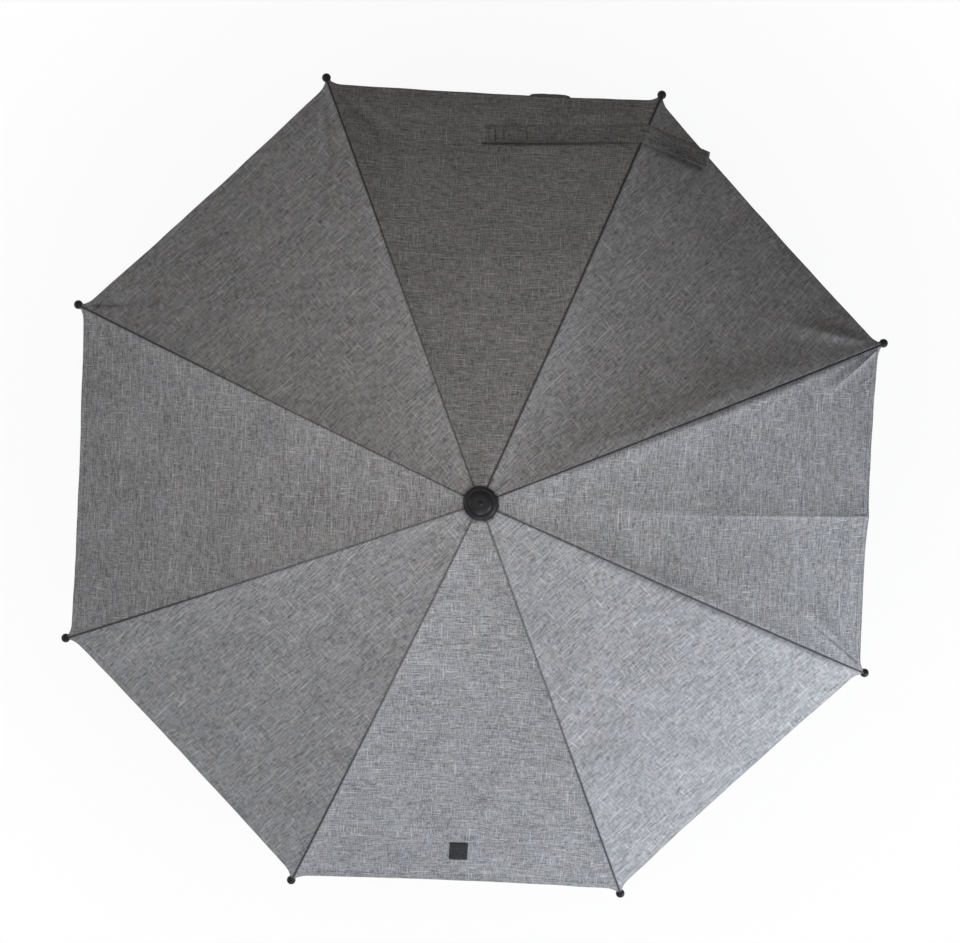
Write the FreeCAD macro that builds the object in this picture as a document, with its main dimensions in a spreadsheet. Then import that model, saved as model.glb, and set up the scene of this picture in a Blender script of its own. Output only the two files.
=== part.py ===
import FreeCAD, Part
import math
import os
from types import SimpleNamespace

import Sketcher

Vector = FreeCAD.Vector
Rotation = FreeCAD.Rotation
Placement = FreeCAD.Placement

os.makedirs("parts", exist_ok=True)
doc = FreeCAD.newDocument("pram_parasol")
sheet = doc.addObject("Spreadsheet::Sheet", "Sizes")

# Driving sizes, in millimetres and degrees. Heights are above the axis of the pram tube.
driving = {
    # folding frame
    "crown_height": 700,
    "pivot_radius": 11,
    "crown_slope": 14,
    "rib_bend": 1460,
    "rib_length": 346,
    "rib_width": 3.4,
    "rib_depth": 3.4,
    "rib_wall": 0.5,
    "eye_length": 7,
    "eye_radius": 1.7,
    "eye_thickness": 1.8,
    "eye_depth": 2.6,
    "wire_radius": 0.7,
    "eye_gap": 0.2,
    "rivet_reach": 143,
    "rivet_drop": 0.6,
    "rivet_radius": 0.7,
    "rivet_head_radius": 1.3,
    "rivet_head_height": 0.5,
    "rivet_gap": 0.15,
    "stretcher_width": 3,
    "stretcher_depth": 2.6,
    "stretcher_wall": 0.5,
    "stretcher_end_radius": 1.5,
    "stretcher_flat_length": 15,
    "stretcher_eye_length": 8,
    "ball_radius": 3.5,
    "collar_radius": 2.4,
    "collar_length": 4.2,
    "spigot_radius": 1,
    "spigot_length": 4,
    # crown and ferrule
    "notch_radius": 13.5,
    "notch_above": 1.2,
    "notch_below": 5,
    "slot_gap": 0.3,
    "washer_radius": 14,
    "washer_lift": 2.2,
    "washer_thickness": 0.8,
    "cap_radius": 12.5,
    "cap_rim": 3,
    "cap_shoulder": 2.6,
    "cap_disc_radius": 9.4,
    "cap_disc_drop": 0.5,
    "cap_dome": 3,
    "nipple_radius": 2,
    "nipple_height": 3.4,
    "cap_bore_depth": 6.5,
    # canopy cloth
    "cloth_thickness": 0.4,
    "cloth_gap": 0.3,
    "cloth_inner": 13.2,
    "corner_back": 1.6,
    "hem_scallop": 2,
    "strap_width": 16.5,
    "strap_thickness": 1.2,
    "strap_back": 36.5,
    "strap_long": 126,
    "strap_short": 57,
    "strap_lean": 2.5,
    "strap_turn": 30,
    # moulded edges
    "edge_round": 0.8,
    # shafts and runner
    "shaft_offset": 38,
    "shaft_radius": 5,
    "shaft_wall": 0.8,
    "slide_gap": 0.3,
    "runner_above": 5,
    "runner_below": 4,
    "sleeve_radius": 8.6,
    "sleeve_length": 30,
    "grip_radius": 10.5,
    "grip_flare": 4,
    "grip_length": 6,
    "catch_width": 2.4,
    "catch_reach": 2.2,
    "catch_root": 3,
    "catch_height": 14,
    "catch_lip": 1.5,
    # tilting joint
    "tilt_height": 310,
    "knuckle_radius": 8,
    "tongue_thickness": 10,
    "cheek_gap": 0.2,
    "plain_cheek": 4,
    "button_cheek": 8,
    "fork_slot_depth": 10,
    "fork_neck": 15,
    "sleeve_overlap": 20,
    "fork_sleeve_length": 26,
    "head_neck": 14,
    "head_sleeve_length": 26,
    "tilt_pin_radius": 2.5,
    "pin_head_radius": 4.2,
    "pin_head_height": 1.6,
    "running_gap": 0.1,
    "button_radius": 6.5,
    "button_height": 5.2,
    "button_well": 5,
    "button_lift": 2.3,
    "button_round": 1,
    # clamp for the pram tube
    "tube_radius": 12.5,
    "jaw_half_angle": 62,
    "clamp_width": 30,
    "clamp_back": 24,
    "clamp_top": 19,
    "lip_run": 3,
    "beam_top": 20,
    "beam_depth": 10,
    "toe_length": 3.5,
    "arm_inner": 30,
    "arm_thickness": 12,
    "arm_rise": 12,
    "clamp_round": 4,
    "jaw_width": 26,
    "jaw_back": 22,
    "jaw_rise": 13.5,
    "screw_radius": 3.7,
    "screw_seat": 5.5,
    "knob_stand": 8,
    "knob_radius": 12,
    "knob_thickness": 14,
    "lobe_radius": 5,
    "knob_round": 2,
    "boss_radius": 14,
    "boss_height": 4,
    # swivelling socket
    "socket_radius": 8.5,
    "socket_height": 48,
    "socket_floor": 8,
    "socket_face_gap": 0.3,
    "bolt_radius": 3,
    "bolt_depth": 12,
    "lock_knob_radius": 10,
    "lock_knob_thickness": 12,
    "lock_lobe_radius": 4,
}

rib_count = 8
knob_lobes = 5
rib_step = 360 / rib_count
first_rib = rib_step / 2


# A length or an angle with its number and its formula in the sheet
class Size:
    def __init__(self, number, formula):
        self.number = number
        self.formula = formula

    def __add__(self, other):
        return joined(self, "+", other, lambda a, b: a + b)

    def __radd__(self, other):
        return joined(other, "+", self, lambda a, b: a + b)

    def __sub__(self, other):
        return joined(self, "-", other, lambda a, b: a - b)

    def __rsub__(self, other):
        return joined(other, "-", self, lambda a, b: a - b)

    def __mul__(self, other):
        return joined(self, "*", other, lambda a, b: a * b)

    def __rmul__(self, other):
        return joined(other, "*", self, lambda a, b: a * b)

    def __truediv__(self, other):
        return joined(self, "/", other, lambda a, b: a / b)

    def __neg__(self):
        return Size(-self.number, "(-%s)" % self.formula)


def sized(value):
    if isinstance(value, Size):
        return value
    return Size(value, "%.9g" % value)


def joined(left, sign, right, rule):
    left = sized(left)
    right = sized(right)
    number = rule(left.number, right.number)
    return Size(number, "(%s %s %s)" % (left.formula, sign, right.formula))


def cosine(angle):
    return Size(math.cos(math.radians(angle.number)), "cos(%s * 1 deg)" % angle.formula)


def sine(angle):
    return Size(math.sin(math.radians(angle.number)), "sin(%s * 1 deg)" % angle.formula)


def root(value):
    return Size(math.sqrt(value.number), "sqrt(%s)" % value.formula)


for row, (name, value) in enumerate(driving.items(), 1):
    sheet.set("A%d" % row, name)
    sheet.set("B%d" % row, str(value))
    sheet.setAlias("B%d" % row, name)
doc.recompute()
d = SimpleNamespace(**{name: Size(value, "Sizes." + name) for name, value in driving.items()})


# Sketches, features and bodies
def new_body(label):
    body = doc.addObject("PartDesign::Body", label)
    body.Label = label
    return body


def origin_feature(body, role):
    return next(item for item in body.Origin.OriginFeatures if item.Role == role)


def bind(item, prop, size):
    item.setExpression(prop, sized(size).formula)


def sketch_on(body, role, lift=0, turn=0):
    sketch = body.newObject("Sketcher::SketchObject", "outline")
    sketch.AttachmentSupport = [(origin_feature(body, role), "")]
    sketch.MapMode = "FlatFace"
    sketch.AttachmentOffset = Placement(Vector(0, 0, 0), Rotation(Vector(0, 0, 1), turn))
    bind(sketch, "AttachmentOffset.Base.z", lift)
    return sketch


def fix(sketch, kind, size, *where):
    size = sized(size)
    index = sketch.addConstraint(Sketcher.Constraint(kind, *where, size.number))
    name = "c%d" % index
    sketch.renameConstraint(index, name)
    if "Sizes." in size.formula:
        sketch.setExpression("Constraints." + name, size.formula)


def circle(sketch, radius, across=0, up=0):
    middle = Vector(sized(across).number, sized(up).number, 0)
    shape = Part.Circle(middle, Vector(0, 0, 1), sized(radius).number)
    item = sketch.addGeometry(shape, False)
    fix(sketch, "Radius", radius, item)
    fix(sketch, "DistanceX", across, -1, 1, item, 3)
    fix(sketch, "DistanceY", up, -1, 1, item, 3)


# An arc between two points, with its centre to the left of the way for a positive radius
def arc_between(start, end, radius):
    half = (end - start) / 2
    height = math.sqrt(max(radius * radius - half.Length * half.Length, 0))
    side = 1 if radius > 0 else -1
    left = Vector(-half.y, half.x, 0).normalize() * side
    centre = start + half + left * height
    middle = centre - left * abs(radius)
    return Part.Arc(start, middle, end)


# A closed outline through corners (x, y), or (x, y, radius) where an arc leads to the corner
def outline(sketch, corners):
    points = [Vector(sized(c[0]).number, sized(c[1]).number, 0) for c in corners]
    items = []
    for index, corner in enumerate(corners):
        start = points[index - 1]
        end = points[index]
        if len(corner) == 3:
            shape = arc_between(start, end, sized(corner[2]).number)
        else:
            shape = Part.LineSegment(start, end)
        items.append(sketch.addGeometry(shape, False))
    ends = []
    for index, corner in enumerate(corners):
        item = items[index]
        begin = sketch.getPoint(item, 1)
        flipped = (begin - points[index]).Length < (begin - points[index - 1]).Length
        ends.append((2, 1) if flipped else (1, 2))
    for index, corner in enumerate(corners):
        after = (index + 1) % len(corners)
        last = ends[index][1]
        sketch.addConstraint(Sketcher.Constraint("Coincident", items[index], last, items[after], ends[after][0]))
        fix(sketch, "DistanceX", corner[0], -1, 1, items[index], last)
        fix(sketch, "DistanceY", corner[1], -1, 1, items[index], last)
        if len(corner) == 3:
            radius = sized(corner[2])
            fix(sketch, "Radius", radius if radius.number > 0 else -radius, items[index])


def rectangle(sketch, left, low, right, high):
    outline(sketch, [(left, low), (right, low), (right, high), (left, high)])


def pad(body, sketch, length, both=False, back=False):
    feature = body.newObject("PartDesign::Pad", "pad")
    feature.Profile = sketch
    bind(feature, "Length", length)
    feature.SideType = "Symmetric" if both else "One side"
    feature.Reversed = back
    doc.recompute()
    return feature


def pocket(body, sketch, length=None, both=False, back=False):
    before = body.Shape.Volume
    feature = body.newObject("PartDesign::Pocket", "pocket")
    feature.Profile = sketch
    if length is None:
        feature.Type = "ThroughAll"
    else:
        bind(feature, "Length", length)
    feature.SideType = "Symmetric" if both else "One side"
    feature.Reversed = back
    doc.recompute()
    if body.Shape.Volume >= before:
        raise RuntimeError("a pocket in %s cuts nothing" % body.Label)
    return feature


def revolve(body, sketch, role, kind="PartDesign::Revolution"):
    feature = body.newObject(kind, "turned")
    feature.Profile = sketch
    feature.ReferenceAxis = (origin_feature(body, role), [""])
    feature.Angle = 360
    doc.recompute()
    return feature


def around(body, feature, count):
    pattern = body.newObject("PartDesign::PolarPattern", "pattern")
    pattern.Originals = [feature]
    pattern.Axis = (origin_feature(body, "Z_Axis"), [""])
    pattern.Angle = 360
    pattern.Occurrences = count
    body.Tip = pattern
    doc.recompute()
    return pattern


def soften(body, radius, wanted):
    base = body.Tip
    names = ["Edge%d" % (i + 1) for i, edge in enumerate(base.Shape.Edges) if wanted(edge)]
    feature = body.newObject("PartDesign::Fillet", "softened")
    feature.Base = (base, names)
    bind(feature, "Radius", radius)
    body.Tip = feature
    doc.recompute()
    return feature


def is_straight_along(edge, direction):
    if edge.Curve.TypeId != "Part::GeomLine":
        return False
    return abs(edge.tangentAt(edge.FirstParameter).dot(direction)) > 0.999


def is_ring_at(edge, height):
    if edge.Curve.TypeId != "Part::GeomCircle":
        return False
    return abs(edge.CenterOfMass.z - height) < 0.001 and abs(edge.Curve.Axis.z) > 0.999


def is_rim(edge, radius):
    if edge.Curve.TypeId != "Part::GeomCircle" or not edge.isClosed():
        return False
    return abs(edge.Curve.Radius - radius.number) < 0.001


def lies_at(edge, way, place):
    return all(abs(vertex.Point.dot(way) - place.number) < 0.001 for vertex in edge.Vertexes)


def put(body, place, rotation=Rotation()):
    body.Placement = Placement(place, rotation)
    return body


# Places on the frame, worked out from the driving sizes
shaft_x = -d.shaft_offset.number
slope = math.radians(d.crown_slope.number)
crown = Vector(shaft_x, 0, d.crown_height.number)


# A point of the rib line: distance along the channel, and height above its middle
def rib_local(along, above=0):
    turn = along / d.rib_bend.number
    reach = d.rib_bend.number + above
    return Vector(d.eye_length.number + reach * math.sin(turn), 0, reach * math.cos(turn) - d.rib_bend.number)


def rib_plane(along, above=0):
    point = rib_local(along, above)
    radius = d.pivot_radius.number + point.x * math.cos(slope) + point.z * math.sin(slope)
    height = d.crown_height.number - point.x * math.sin(slope) + point.z * math.cos(slope)
    return radius, height


rivet = rib_local(d.rivet_reach.number, -d.rivet_drop.number)
arm_length = rivet.Length
arm_slope = slope + math.atan2(-rivet.z, rivet.x)
runner_drop = 2 * arm_length * math.sin(arm_slope)
runner_height = d.crown_height.number - runner_drop
ball_along = d.rib_length.number + d.collar_length.number


# The place on a rib where the frame line reaches a radius from the shaft
def along_at_radius(radius, above):
    low = -d.eye_length.number
    high = ball_along
    for step in range(60):
        middle = (low + high) / 2
        if rib_plane(middle, above)[0] < radius:
            low = middle
        else:
            high = middle
    return low


def rib_azimuth(index):
    return first_rib + rib_step * index


def turned_about_shaft(azimuth, pitch=0):
    about_shaft = Rotation(Vector(0, 0, 1), azimuth)
    return about_shaft.multiply(Rotation(Vector(0, 1, 0), pitch))


def on_shaft(azimuth, radius, height):
    angle = math.radians(azimuth)
    return Vector(shaft_x + radius * math.cos(angle), radius * math.sin(angle), height)


# Ribs: a pressed steel channel with a flat eye at the crown and a rivet for the stretcher
def make_rib(index):
    body = new_body("rib_%d" % (index + 1))
    half = d.rib_width / 2
    inner = half - d.rib_wall
    top = d.rib_depth / 2
    web = top - d.rib_wall
    section = sketch_on(body, "YZ_Plane", d.eye_length)
    outline(section, [(-half, -top), (-inner, -top), (-inner, web), (inner, web),
                      (inner, -top), (half, -top), (half, top), (-half, top)])
    centre = Vector(-half.number, -d.rib_bend.number, 0)
    axis = section.addGeometry(Part.LineSegment(centre, centre + Vector(d.rib_width.number, 0, 0)), True)
    fix(section, "DistanceY", -d.rib_bend, -1, 1, axis, 1)
    fix(section, "DistanceY", -d.rib_bend, -1, 1, axis, 2)
    channel = body.newObject("PartDesign::Revolution", "channel")
    channel.Profile = section
    channel.ReferenceAxis = (section, ["Axis0"])
    bind(channel, "Angle", d.rib_length / d.rib_bend * (180 / math.pi))
    doc.recompute()
    eye = sketch_on(body, "XZ_Plane")
    circle(eye, d.eye_radius)
    pad(body, eye, d.eye_thickness, both=True)
    neck = sketch_on(body, "XZ_Plane")
    rectangle(neck, 0, -d.eye_depth / 2, d.eye_length + d.rib_wall * 3, d.eye_depth / 2)
    pad(body, neck, d.eye_thickness, both=True)
    hole = sketch_on(body, "XZ_Plane")
    circle(hole, d.wire_radius + d.eye_gap)
    pocket(body, hole, both=True)
    turn = d.rivet_reach / d.rib_bend * (180 / math.pi)
    reach = d.rib_bend - d.rivet_drop
    across = d.eye_length + reach * sine(turn)
    up = reach * cosine(turn) - d.rib_bend
    pin = sketch_on(body, "XZ_Plane")
    circle(pin, d.rivet_radius, across, up)
    pad(body, pin, d.rib_width, both=True)
    for side in (1, -1):
        head = sketch_on(body, "XZ_Plane", half * side)
        circle(head, d.rivet_head_radius, across, up)
        pad(body, head, d.rivet_head_height, back=side < 0)
    azimuth = rib_azimuth(index)
    place = on_shaft(azimuth, d.pivot_radius.number, d.crown_height.number)
    return put(body, place, turned_about_shaft(azimuth, d.crown_slope.number))


# Ball tips: a ball with a collar that meets the rib end and a spigot inside the channel
def make_rib_tip(index):
    body = new_body("rib_tip_%d" % (index + 1))
    profile = sketch_on(body, "XZ_Plane")
    flat = root(d.ball_radius * d.ball_radius - d.collar_radius * d.collar_radius)
    back = -(d.collar_length + d.spigot_length)
    outline(profile, [(back, 0), (back, d.spigot_radius), (-d.collar_length, d.spigot_radius),
                      (-d.collar_length, d.collar_radius), (-flat, d.collar_radius),
                      (d.ball_radius, 0, -d.ball_radius)])
    revolve(body, profile, "X_Axis")
    azimuth = rib_azimuth(index)
    turn = d.rib_length.number / d.rib_bend.number
    radius, height = rib_plane(d.rib_length.number)
    pitch = slope + turn
    radius += d.collar_length.number * math.cos(pitch)
    height -= d.collar_length.number * math.sin(pitch)
    return put(body, on_shaft(azimuth, radius, height), turned_about_shaft(azimuth, math.degrees(pitch)))


# Stretchers: a short channel, flat at both ends, from the runner's ring to the rib's rivet
def make_stretcher(index):
    body = new_body("stretcher_%d" % (index + 1))
    half = d.stretcher_width / 2
    inner = half - d.stretcher_wall
    top = d.stretcher_depth / 2
    web = top - d.stretcher_wall
    section = sketch_on(body, "YZ_Plane", d.stretcher_eye_length)
    outline(section, [(-half, -top), (-inner, -top), (-inner, web), (inner, web),
                      (inner, -top), (half, -top), (half, top), (-half, top)])
    pad(body, section, arm_length - d.stretcher_eye_length - d.stretcher_flat_length)
    lap = d.stretcher_wall * 3
    start = d.stretcher_eye_length
    end = arm_length - d.stretcher_flat_length
    for left, right in ((0, start + lap), (end - lap, arm_length)):
        flat = sketch_on(body, "XZ_Plane")
        rectangle(flat, left, -top, right, top)
        pad(body, flat, d.eye_thickness, both=True)
    holes = ((0, d.eye_radius, d.wire_radius + d.eye_gap),
             (arm_length, d.stretcher_end_radius, d.rivet_radius + d.rivet_gap))
    for across, outer, bore in holes:
        end_round = sketch_on(body, "XZ_Plane")
        circle(end_round, outer, across)
        pad(body, end_round, d.eye_thickness, both=True)
    for across, outer, bore in holes:
        hole = sketch_on(body, "XZ_Plane")
        circle(hole, bore, across)
        pocket(body, hole, both=True)
    azimuth = rib_azimuth(index)
    place = on_shaft(azimuth, d.pivot_radius.number, runner_height)
    return put(body, place, turned_about_shaft(azimuth, -math.degrees(arm_slope)))


# The slots, one for each rib or stretcher, and the round groove that the ring wire lies in
def cut_ring_slots(body, above, below):
    groove = sketch_on(body, "XZ_Plane")
    rectangle(groove, d.pivot_radius - d.wire_radius, -d.wire_radius,
              d.pivot_radius + d.wire_radius, above + d.wire_radius)
    revolve(body, groove, "Z_Axis", "PartDesign::Groove")
    slot = sketch_on(body, "XY_Plane", above, first_rib)
    half = d.eye_thickness / 2 + d.slot_gap
    deep = d.pivot_radius - d.eye_radius - d.slot_gap
    rectangle(slot, deep, -half, d.notch_radius * 2, half)
    cut = pocket(body, slot, above + below)
    around(body, cut, rib_count)


def make_crown_notch():
    body = new_body("crown_notch")
    profile = sketch_on(body, "XZ_Plane")
    bevel = d.notch_below / 4
    outline(profile, [(d.shaft_radius, -d.notch_below), (d.notch_radius - bevel, -d.notch_below),
                      (d.notch_radius, bevel - d.notch_below), (d.notch_radius, d.notch_above),
                      (d.shaft_radius, d.notch_above)])
    revolve(body, profile, "Z_Axis")
    cut_ring_slots(body, d.notch_above, d.notch_below)
    return put(body, crown)


def make_ring_wire(label, height):
    ring = doc.addObject("Part::Torus", label)
    ring.Label = label
    bind(ring, "Radius1", d.pivot_radius)
    bind(ring, "Radius2", d.wire_radius)
    ring.Placement = Placement(Vector(shaft_x, 0, height), Rotation())
    return ring


# Runner: a sliding sleeve with a slotted flange, a flared grip and a keyway for the catch
def make_runner():
    body = new_body("runner")
    bore = d.shaft_radius + d.slide_gap
    sleeve_end = -d.runner_below - d.sleeve_length
    flare_end = sleeve_end - d.grip_flare
    end = flare_end - d.grip_length
    bevel = d.runner_below / 2
    profile = sketch_on(body, "XZ_Plane")
    outline(profile, [(bore, d.runner_above), (bore, end), (d.grip_radius, end),
                      (d.grip_radius, flare_end), (d.sleeve_radius, sleeve_end),
                      (d.sleeve_radius, -d.runner_below), (d.notch_radius - bevel, -d.runner_below),
                      (d.notch_radius, bevel - d.runner_below), (d.notch_radius, d.runner_above)])
    revolve(body, profile, "Z_Axis")
    cut_ring_slots(body, d.runner_above, d.runner_below)
    key = sketch_on(body, "XY_Plane")
    half = d.catch_width / 2 + d.slide_gap
    rectangle(key, 0, -half, d.shaft_radius + d.catch_reach + d.slide_gap, half)
    pocket(body, key, both=True)
    soften(body, d.edge_round, lambda edge: is_rim(edge, d.grip_radius))
    return put(body, Vector(shaft_x, 0, runner_height))


def runner_end_height():
    below = d.runner_below + d.sleeve_length + d.grip_flare + d.grip_length
    return runner_height - below.number


def make_tube(label, length, low):
    body = new_body(label)
    section = sketch_on(body, "XY_Plane")
    circle(section, d.shaft_radius)
    circle(section, d.shaft_radius - d.shaft_wall)
    pad(body, section, length)
    return put(body, Vector(shaft_x, 0, low))


catch_low = runner_end_height() - d.slide_gap.number - d.catch_height.number


def make_upper_shaft():
    low = d.tilt_height + d.head_neck + d.head_sleeve_length - d.sleeve_overlap
    top = d.crown_height + d.washer_lift + d.washer_thickness + d.cap_bore_depth
    body = make_tube("upper_shaft", top - low, low.number)
    window = sketch_on(body, "XZ_Plane")
    start = catch_low - low - d.slide_gap
    rectangle(window, 0, start, d.shaft_radius * 2, start + d.catch_height + d.slide_gap * 2)
    pocket(body, window, d.catch_width + d.slide_gap * 2, both=True)
    return body


# Runner catch: a sprung wedge that stands out of the shaft under the runner
def make_runner_catch():
    body = new_body("runner_catch")
    wedge = sketch_on(body, "XZ_Plane")
    nose = d.shaft_radius + d.catch_reach
    back = d.shaft_radius - d.catch_root
    outline(wedge, [(back, 0), (d.shaft_radius, 0), (nose, d.catch_height - d.catch_lip),
                    (nose, d.catch_height), (back, d.catch_height)])
    pad(body, wedge, d.catch_width, both=True)
    return put(body, Vector(shaft_x, 0, catch_low))


# Ferrule: a washer over the cloth and a domed cap with a nipple on top
def make_apex_washer():
    body = new_body("apex_washer")
    section = sketch_on(body, "XY_Plane")
    circle(section, d.washer_radius)
    circle(section, d.shaft_radius)
    pad(body, section, d.washer_thickness)
    return put(body, crown + Vector(0, 0, d.washer_lift.number))


def make_ferrule_cap():
    body = new_body("ferrule_cap")
    profile = sketch_on(body, "XZ_Plane")
    shoulder = d.cap_rim + d.cap_shoulder
    disc = shoulder - d.cap_disc_drop
    crest = disc + d.cap_dome
    rise = crest - disc
    run = d.cap_disc_radius - d.nipple_radius
    dome = (run * run + rise * rise) / (2 * rise)
    tip = crest + d.nipple_height
    outline(profile, [(0, d.cap_bore_depth), (d.shaft_radius, d.cap_bore_depth), (d.shaft_radius, 0),
                      (d.cap_radius, 0), (d.cap_radius, d.cap_rim),
                      (d.cap_radius - d.cap_shoulder, shoulder, d.cap_shoulder),
                      (d.cap_disc_radius, shoulder), (d.cap_disc_radius, disc),
                      (d.nipple_radius, crest, dome), (d.nipple_radius, tip - d.nipple_radius),
                      (0, tip, d.nipple_radius)])
    revolve(body, profile, "Z_Axis")
    return put(body, crown + Vector(0, 0, d.washer_lift.number + d.washer_thickness.number))


# Canopy: each gore is two thin halves that meet on its middle line, and each half is a
# ruled sheet from the rib's curve to the middle curve
def cloth_level():
    return d.rib_depth.number / 2 + d.cloth_gap.number


def rib_edge_points(above):
    first = along_at_radius(d.cloth_inner.number, above)
    last = d.rib_length.number - d.corner_back.number
    stops = (first, (first + last) / 2, last)
    return [Vector(*rib_plane(stop, above), 0) for stop in stops]


# Half the turn between two ribs, which is where the gore's middle line lies
half_gore = rib_step / 2


def middle_points(above):
    flat = math.cos(math.radians(half_gore))
    points = []
    for point, scallop in zip(rib_edge_points(above), (0, d.hem_scallop.number / 4, d.hem_scallop.number)):
        points.append(Vector(point.x * flat - scallop, point.y, 0))
    return points


def cloth_profile(body, turn, lift, points):
    sketch = body.newObject("Sketcher::SketchObject", "edge")
    sketch.AttachmentSupport = [(origin_feature(body, "XZ_Plane"), "")]
    sketch.MapMode = "FlatFace"
    about_shaft = Placement(Vector(0, 0, 0), Rotation(Vector(0, 1, 0), turn))
    sketch.AttachmentOffset = about_shaft.multiply(Placement(Vector(0, 0, lift), Rotation()))
    low = points(cloth_level())
    high = points(cloth_level() + d.cloth_thickness.number)
    sketch.addGeometry(Part.Arc(*low), False)
    sketch.addGeometry(Part.LineSegment(low[2], high[2]), False)
    sketch.addGeometry(Part.Arc(*reversed(high)), False)
    sketch.addGeometry(Part.LineSegment(high[0], low[0]), False)
    return sketch


def make_half_gore(index, side):
    right = side == "right"
    sign = 1 if right else -1
    body = new_body("gore_%d_%s" % (index + 1, side))
    gap = d.cloth_gap.number
    edge = cloth_profile(body, 0, -sign * gap, rib_edge_points)
    middle = cloth_profile(body, sign * half_gore, sign * gap / 2, middle_points)
    loft = body.newObject("PartDesign::AdditiveLoft", "sheet")
    loft.Profile = edge
    loft.Sections = [middle]
    loft.Ruled = True
    doc.recompute()
    azimuth = rib_azimuth(index if right else index + 1)
    return put(body, Vector(shaft_x, 0, 0), turned_about_shaft(azimuth))


# Tie strap: a folded band sewn down where it crosses a rib, lying on the halves to each side
strap_rib = 1


def strap_frame(side):
    above = cloth_level() + d.cloth_thickness.number + d.cloth_gap.number
    along = d.rib_length.number - d.strap_back.number
    turn = slope + along / d.rib_bend.number
    azimuth = math.radians(rib_azimuth(strap_rib))
    outward = Vector(math.cos(azimuth), math.sin(azimuth), 0)
    across = Vector(-math.sin(azimuth), math.cos(azimuth), 0) * side
    down_rib = outward * math.cos(turn) - Vector(0, 0, 1) * math.sin(turn)
    middle = math.radians(half_gore)
    radius, height = rib_plane(along, above)
    start = on_shaft(rib_azimuth(strap_rib), radius, height)
    ruling = across * math.cos(middle) - outward * math.sin(middle)
    normal = down_rib.cross(ruling) * side
    return start, ruling, normal.normalize()


def make_strap(label, side, length, turn):
    body = new_body(label)
    band = sketch_on(body, "XY_Plane")
    begin = d.cloth_gap + d.strap_width / 2 * sine(turn) / cosine(turn)
    rectangle(band, begin, -d.strap_width / 2, length, d.strap_width / 2)
    pad(body, band, d.strap_thickness)
    start, ruling, normal = strap_frame(side)
    along = Rotation(normal, turn.number).multVec(ruling)
    place = start + normal * d.cloth_gap.number
    width_way = normal.cross(along)
    return put(body, place, Rotation(along, width_way, normal, "XYZ"))


# Tilting joint: a fork on the lower shaft, a knuckle under the upper shaft, a pin and a button
tilt = Vector(shaft_x, 0, d.tilt_height.number)
tongue_half = d.tongue_thickness / 2 + d.cheek_gap
button_face = tongue_half + d.button_cheek
plain_face = tongue_half + d.plain_cheek


# The rounded outline of a cheek, apart from its lower edge
def is_cheek_edge(edge):
    if edge.isClosed() or edge.CenterOfMass.z < -d.fork_slot_depth.number:
        return False
    across = Vector(0, 1, 0)
    return lies_at(edge, across, button_face) or lies_at(edge, across, -plain_face)


def make_tilt_fork():
    body = new_body("tilt_fork")
    sleeve_low = -d.fork_neck - d.fork_sleeve_length
    sleeve = sketch_on(body, "XY_Plane", sleeve_low)
    circle(sleeve, d.knuckle_radius)
    pad(body, sleeve, d.fork_sleeve_length)
    knuckle = sketch_on(body, "XZ_Plane", -button_face)
    outline(knuckle, [(-d.knuckle_radius, -d.fork_neck), (d.knuckle_radius, -d.fork_neck),
                      (d.knuckle_radius, 0), (0, d.knuckle_radius, d.knuckle_radius),
                      (-d.knuckle_radius, 0, d.knuckle_radius)])
    pad(body, knuckle, button_face + plain_face)
    slot = sketch_on(body, "XZ_Plane")
    wide = d.knuckle_radius * 2
    rectangle(slot, -wide, -d.fork_slot_depth, wide, wide)
    pocket(body, slot, tongue_half * 2, both=True)
    pin_hole = sketch_on(body, "XZ_Plane")
    circle(pin_hole, d.tilt_pin_radius)
    pocket(body, pin_hole, both=True)
    well = sketch_on(body, "XZ_Plane", -button_face)
    circle(well, d.button_radius + d.slide_gap)
    pocket(body, well, d.button_well, back=True)
    bore = sketch_on(body, "XY_Plane", sleeve_low)
    circle(bore, d.shaft_radius)
    pocket(body, bore, d.sleeve_overlap, back=True)
    soften(body, d.edge_round, lambda edge: is_rim(edge, d.knuckle_radius) or is_cheek_edge(edge))
    return put(body, tilt)


def make_tilt_head():
    body = new_body("tilt_head")
    knuckle = sketch_on(body, "XZ_Plane")
    top = d.head_neck + d.head_sleeve_length - d.sleeve_overlap
    outline(knuckle, [(d.knuckle_radius, top), (-d.knuckle_radius, top), (-d.knuckle_radius, 0),
                      (0, -d.knuckle_radius, d.knuckle_radius),
                      (d.knuckle_radius, 0, d.knuckle_radius)])
    pad(body, knuckle, d.tongue_thickness, both=True)
    sleeve = sketch_on(body, "XY_Plane", d.head_neck)
    circle(sleeve, d.knuckle_radius)
    pad(body, sleeve, d.head_sleeve_length)
    sleeve_top = d.head_neck + d.head_sleeve_length
    bore = sketch_on(body, "XY_Plane", sleeve_top)
    circle(bore, d.shaft_radius)
    pocket(body, bore, d.sleeve_overlap)
    pin_hole = sketch_on(body, "XZ_Plane")
    circle(pin_hole, d.tilt_pin_radius + d.running_gap)
    pocket(body, pin_hole, both=True)
    soften(body, d.edge_round, lambda edge: is_rim(edge, d.knuckle_radius))
    return put(body, tilt)


def make_tilt_pin():
    body = new_body("tilt_pin")
    profile = sketch_on(body, "XZ_Plane")
    low = -plain_face
    high = button_face - d.button_well
    outline(profile, [(0, low - d.pin_head_height), (d.pin_head_radius, low - d.pin_head_height),
                      (d.pin_head_radius, low), (d.tilt_pin_radius, low), (d.tilt_pin_radius, high), (0, high)])
    revolve(body, profile, "Z_Axis")
    return put(body, tilt, Rotation(Vector(1, 0, 0), -90))


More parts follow.
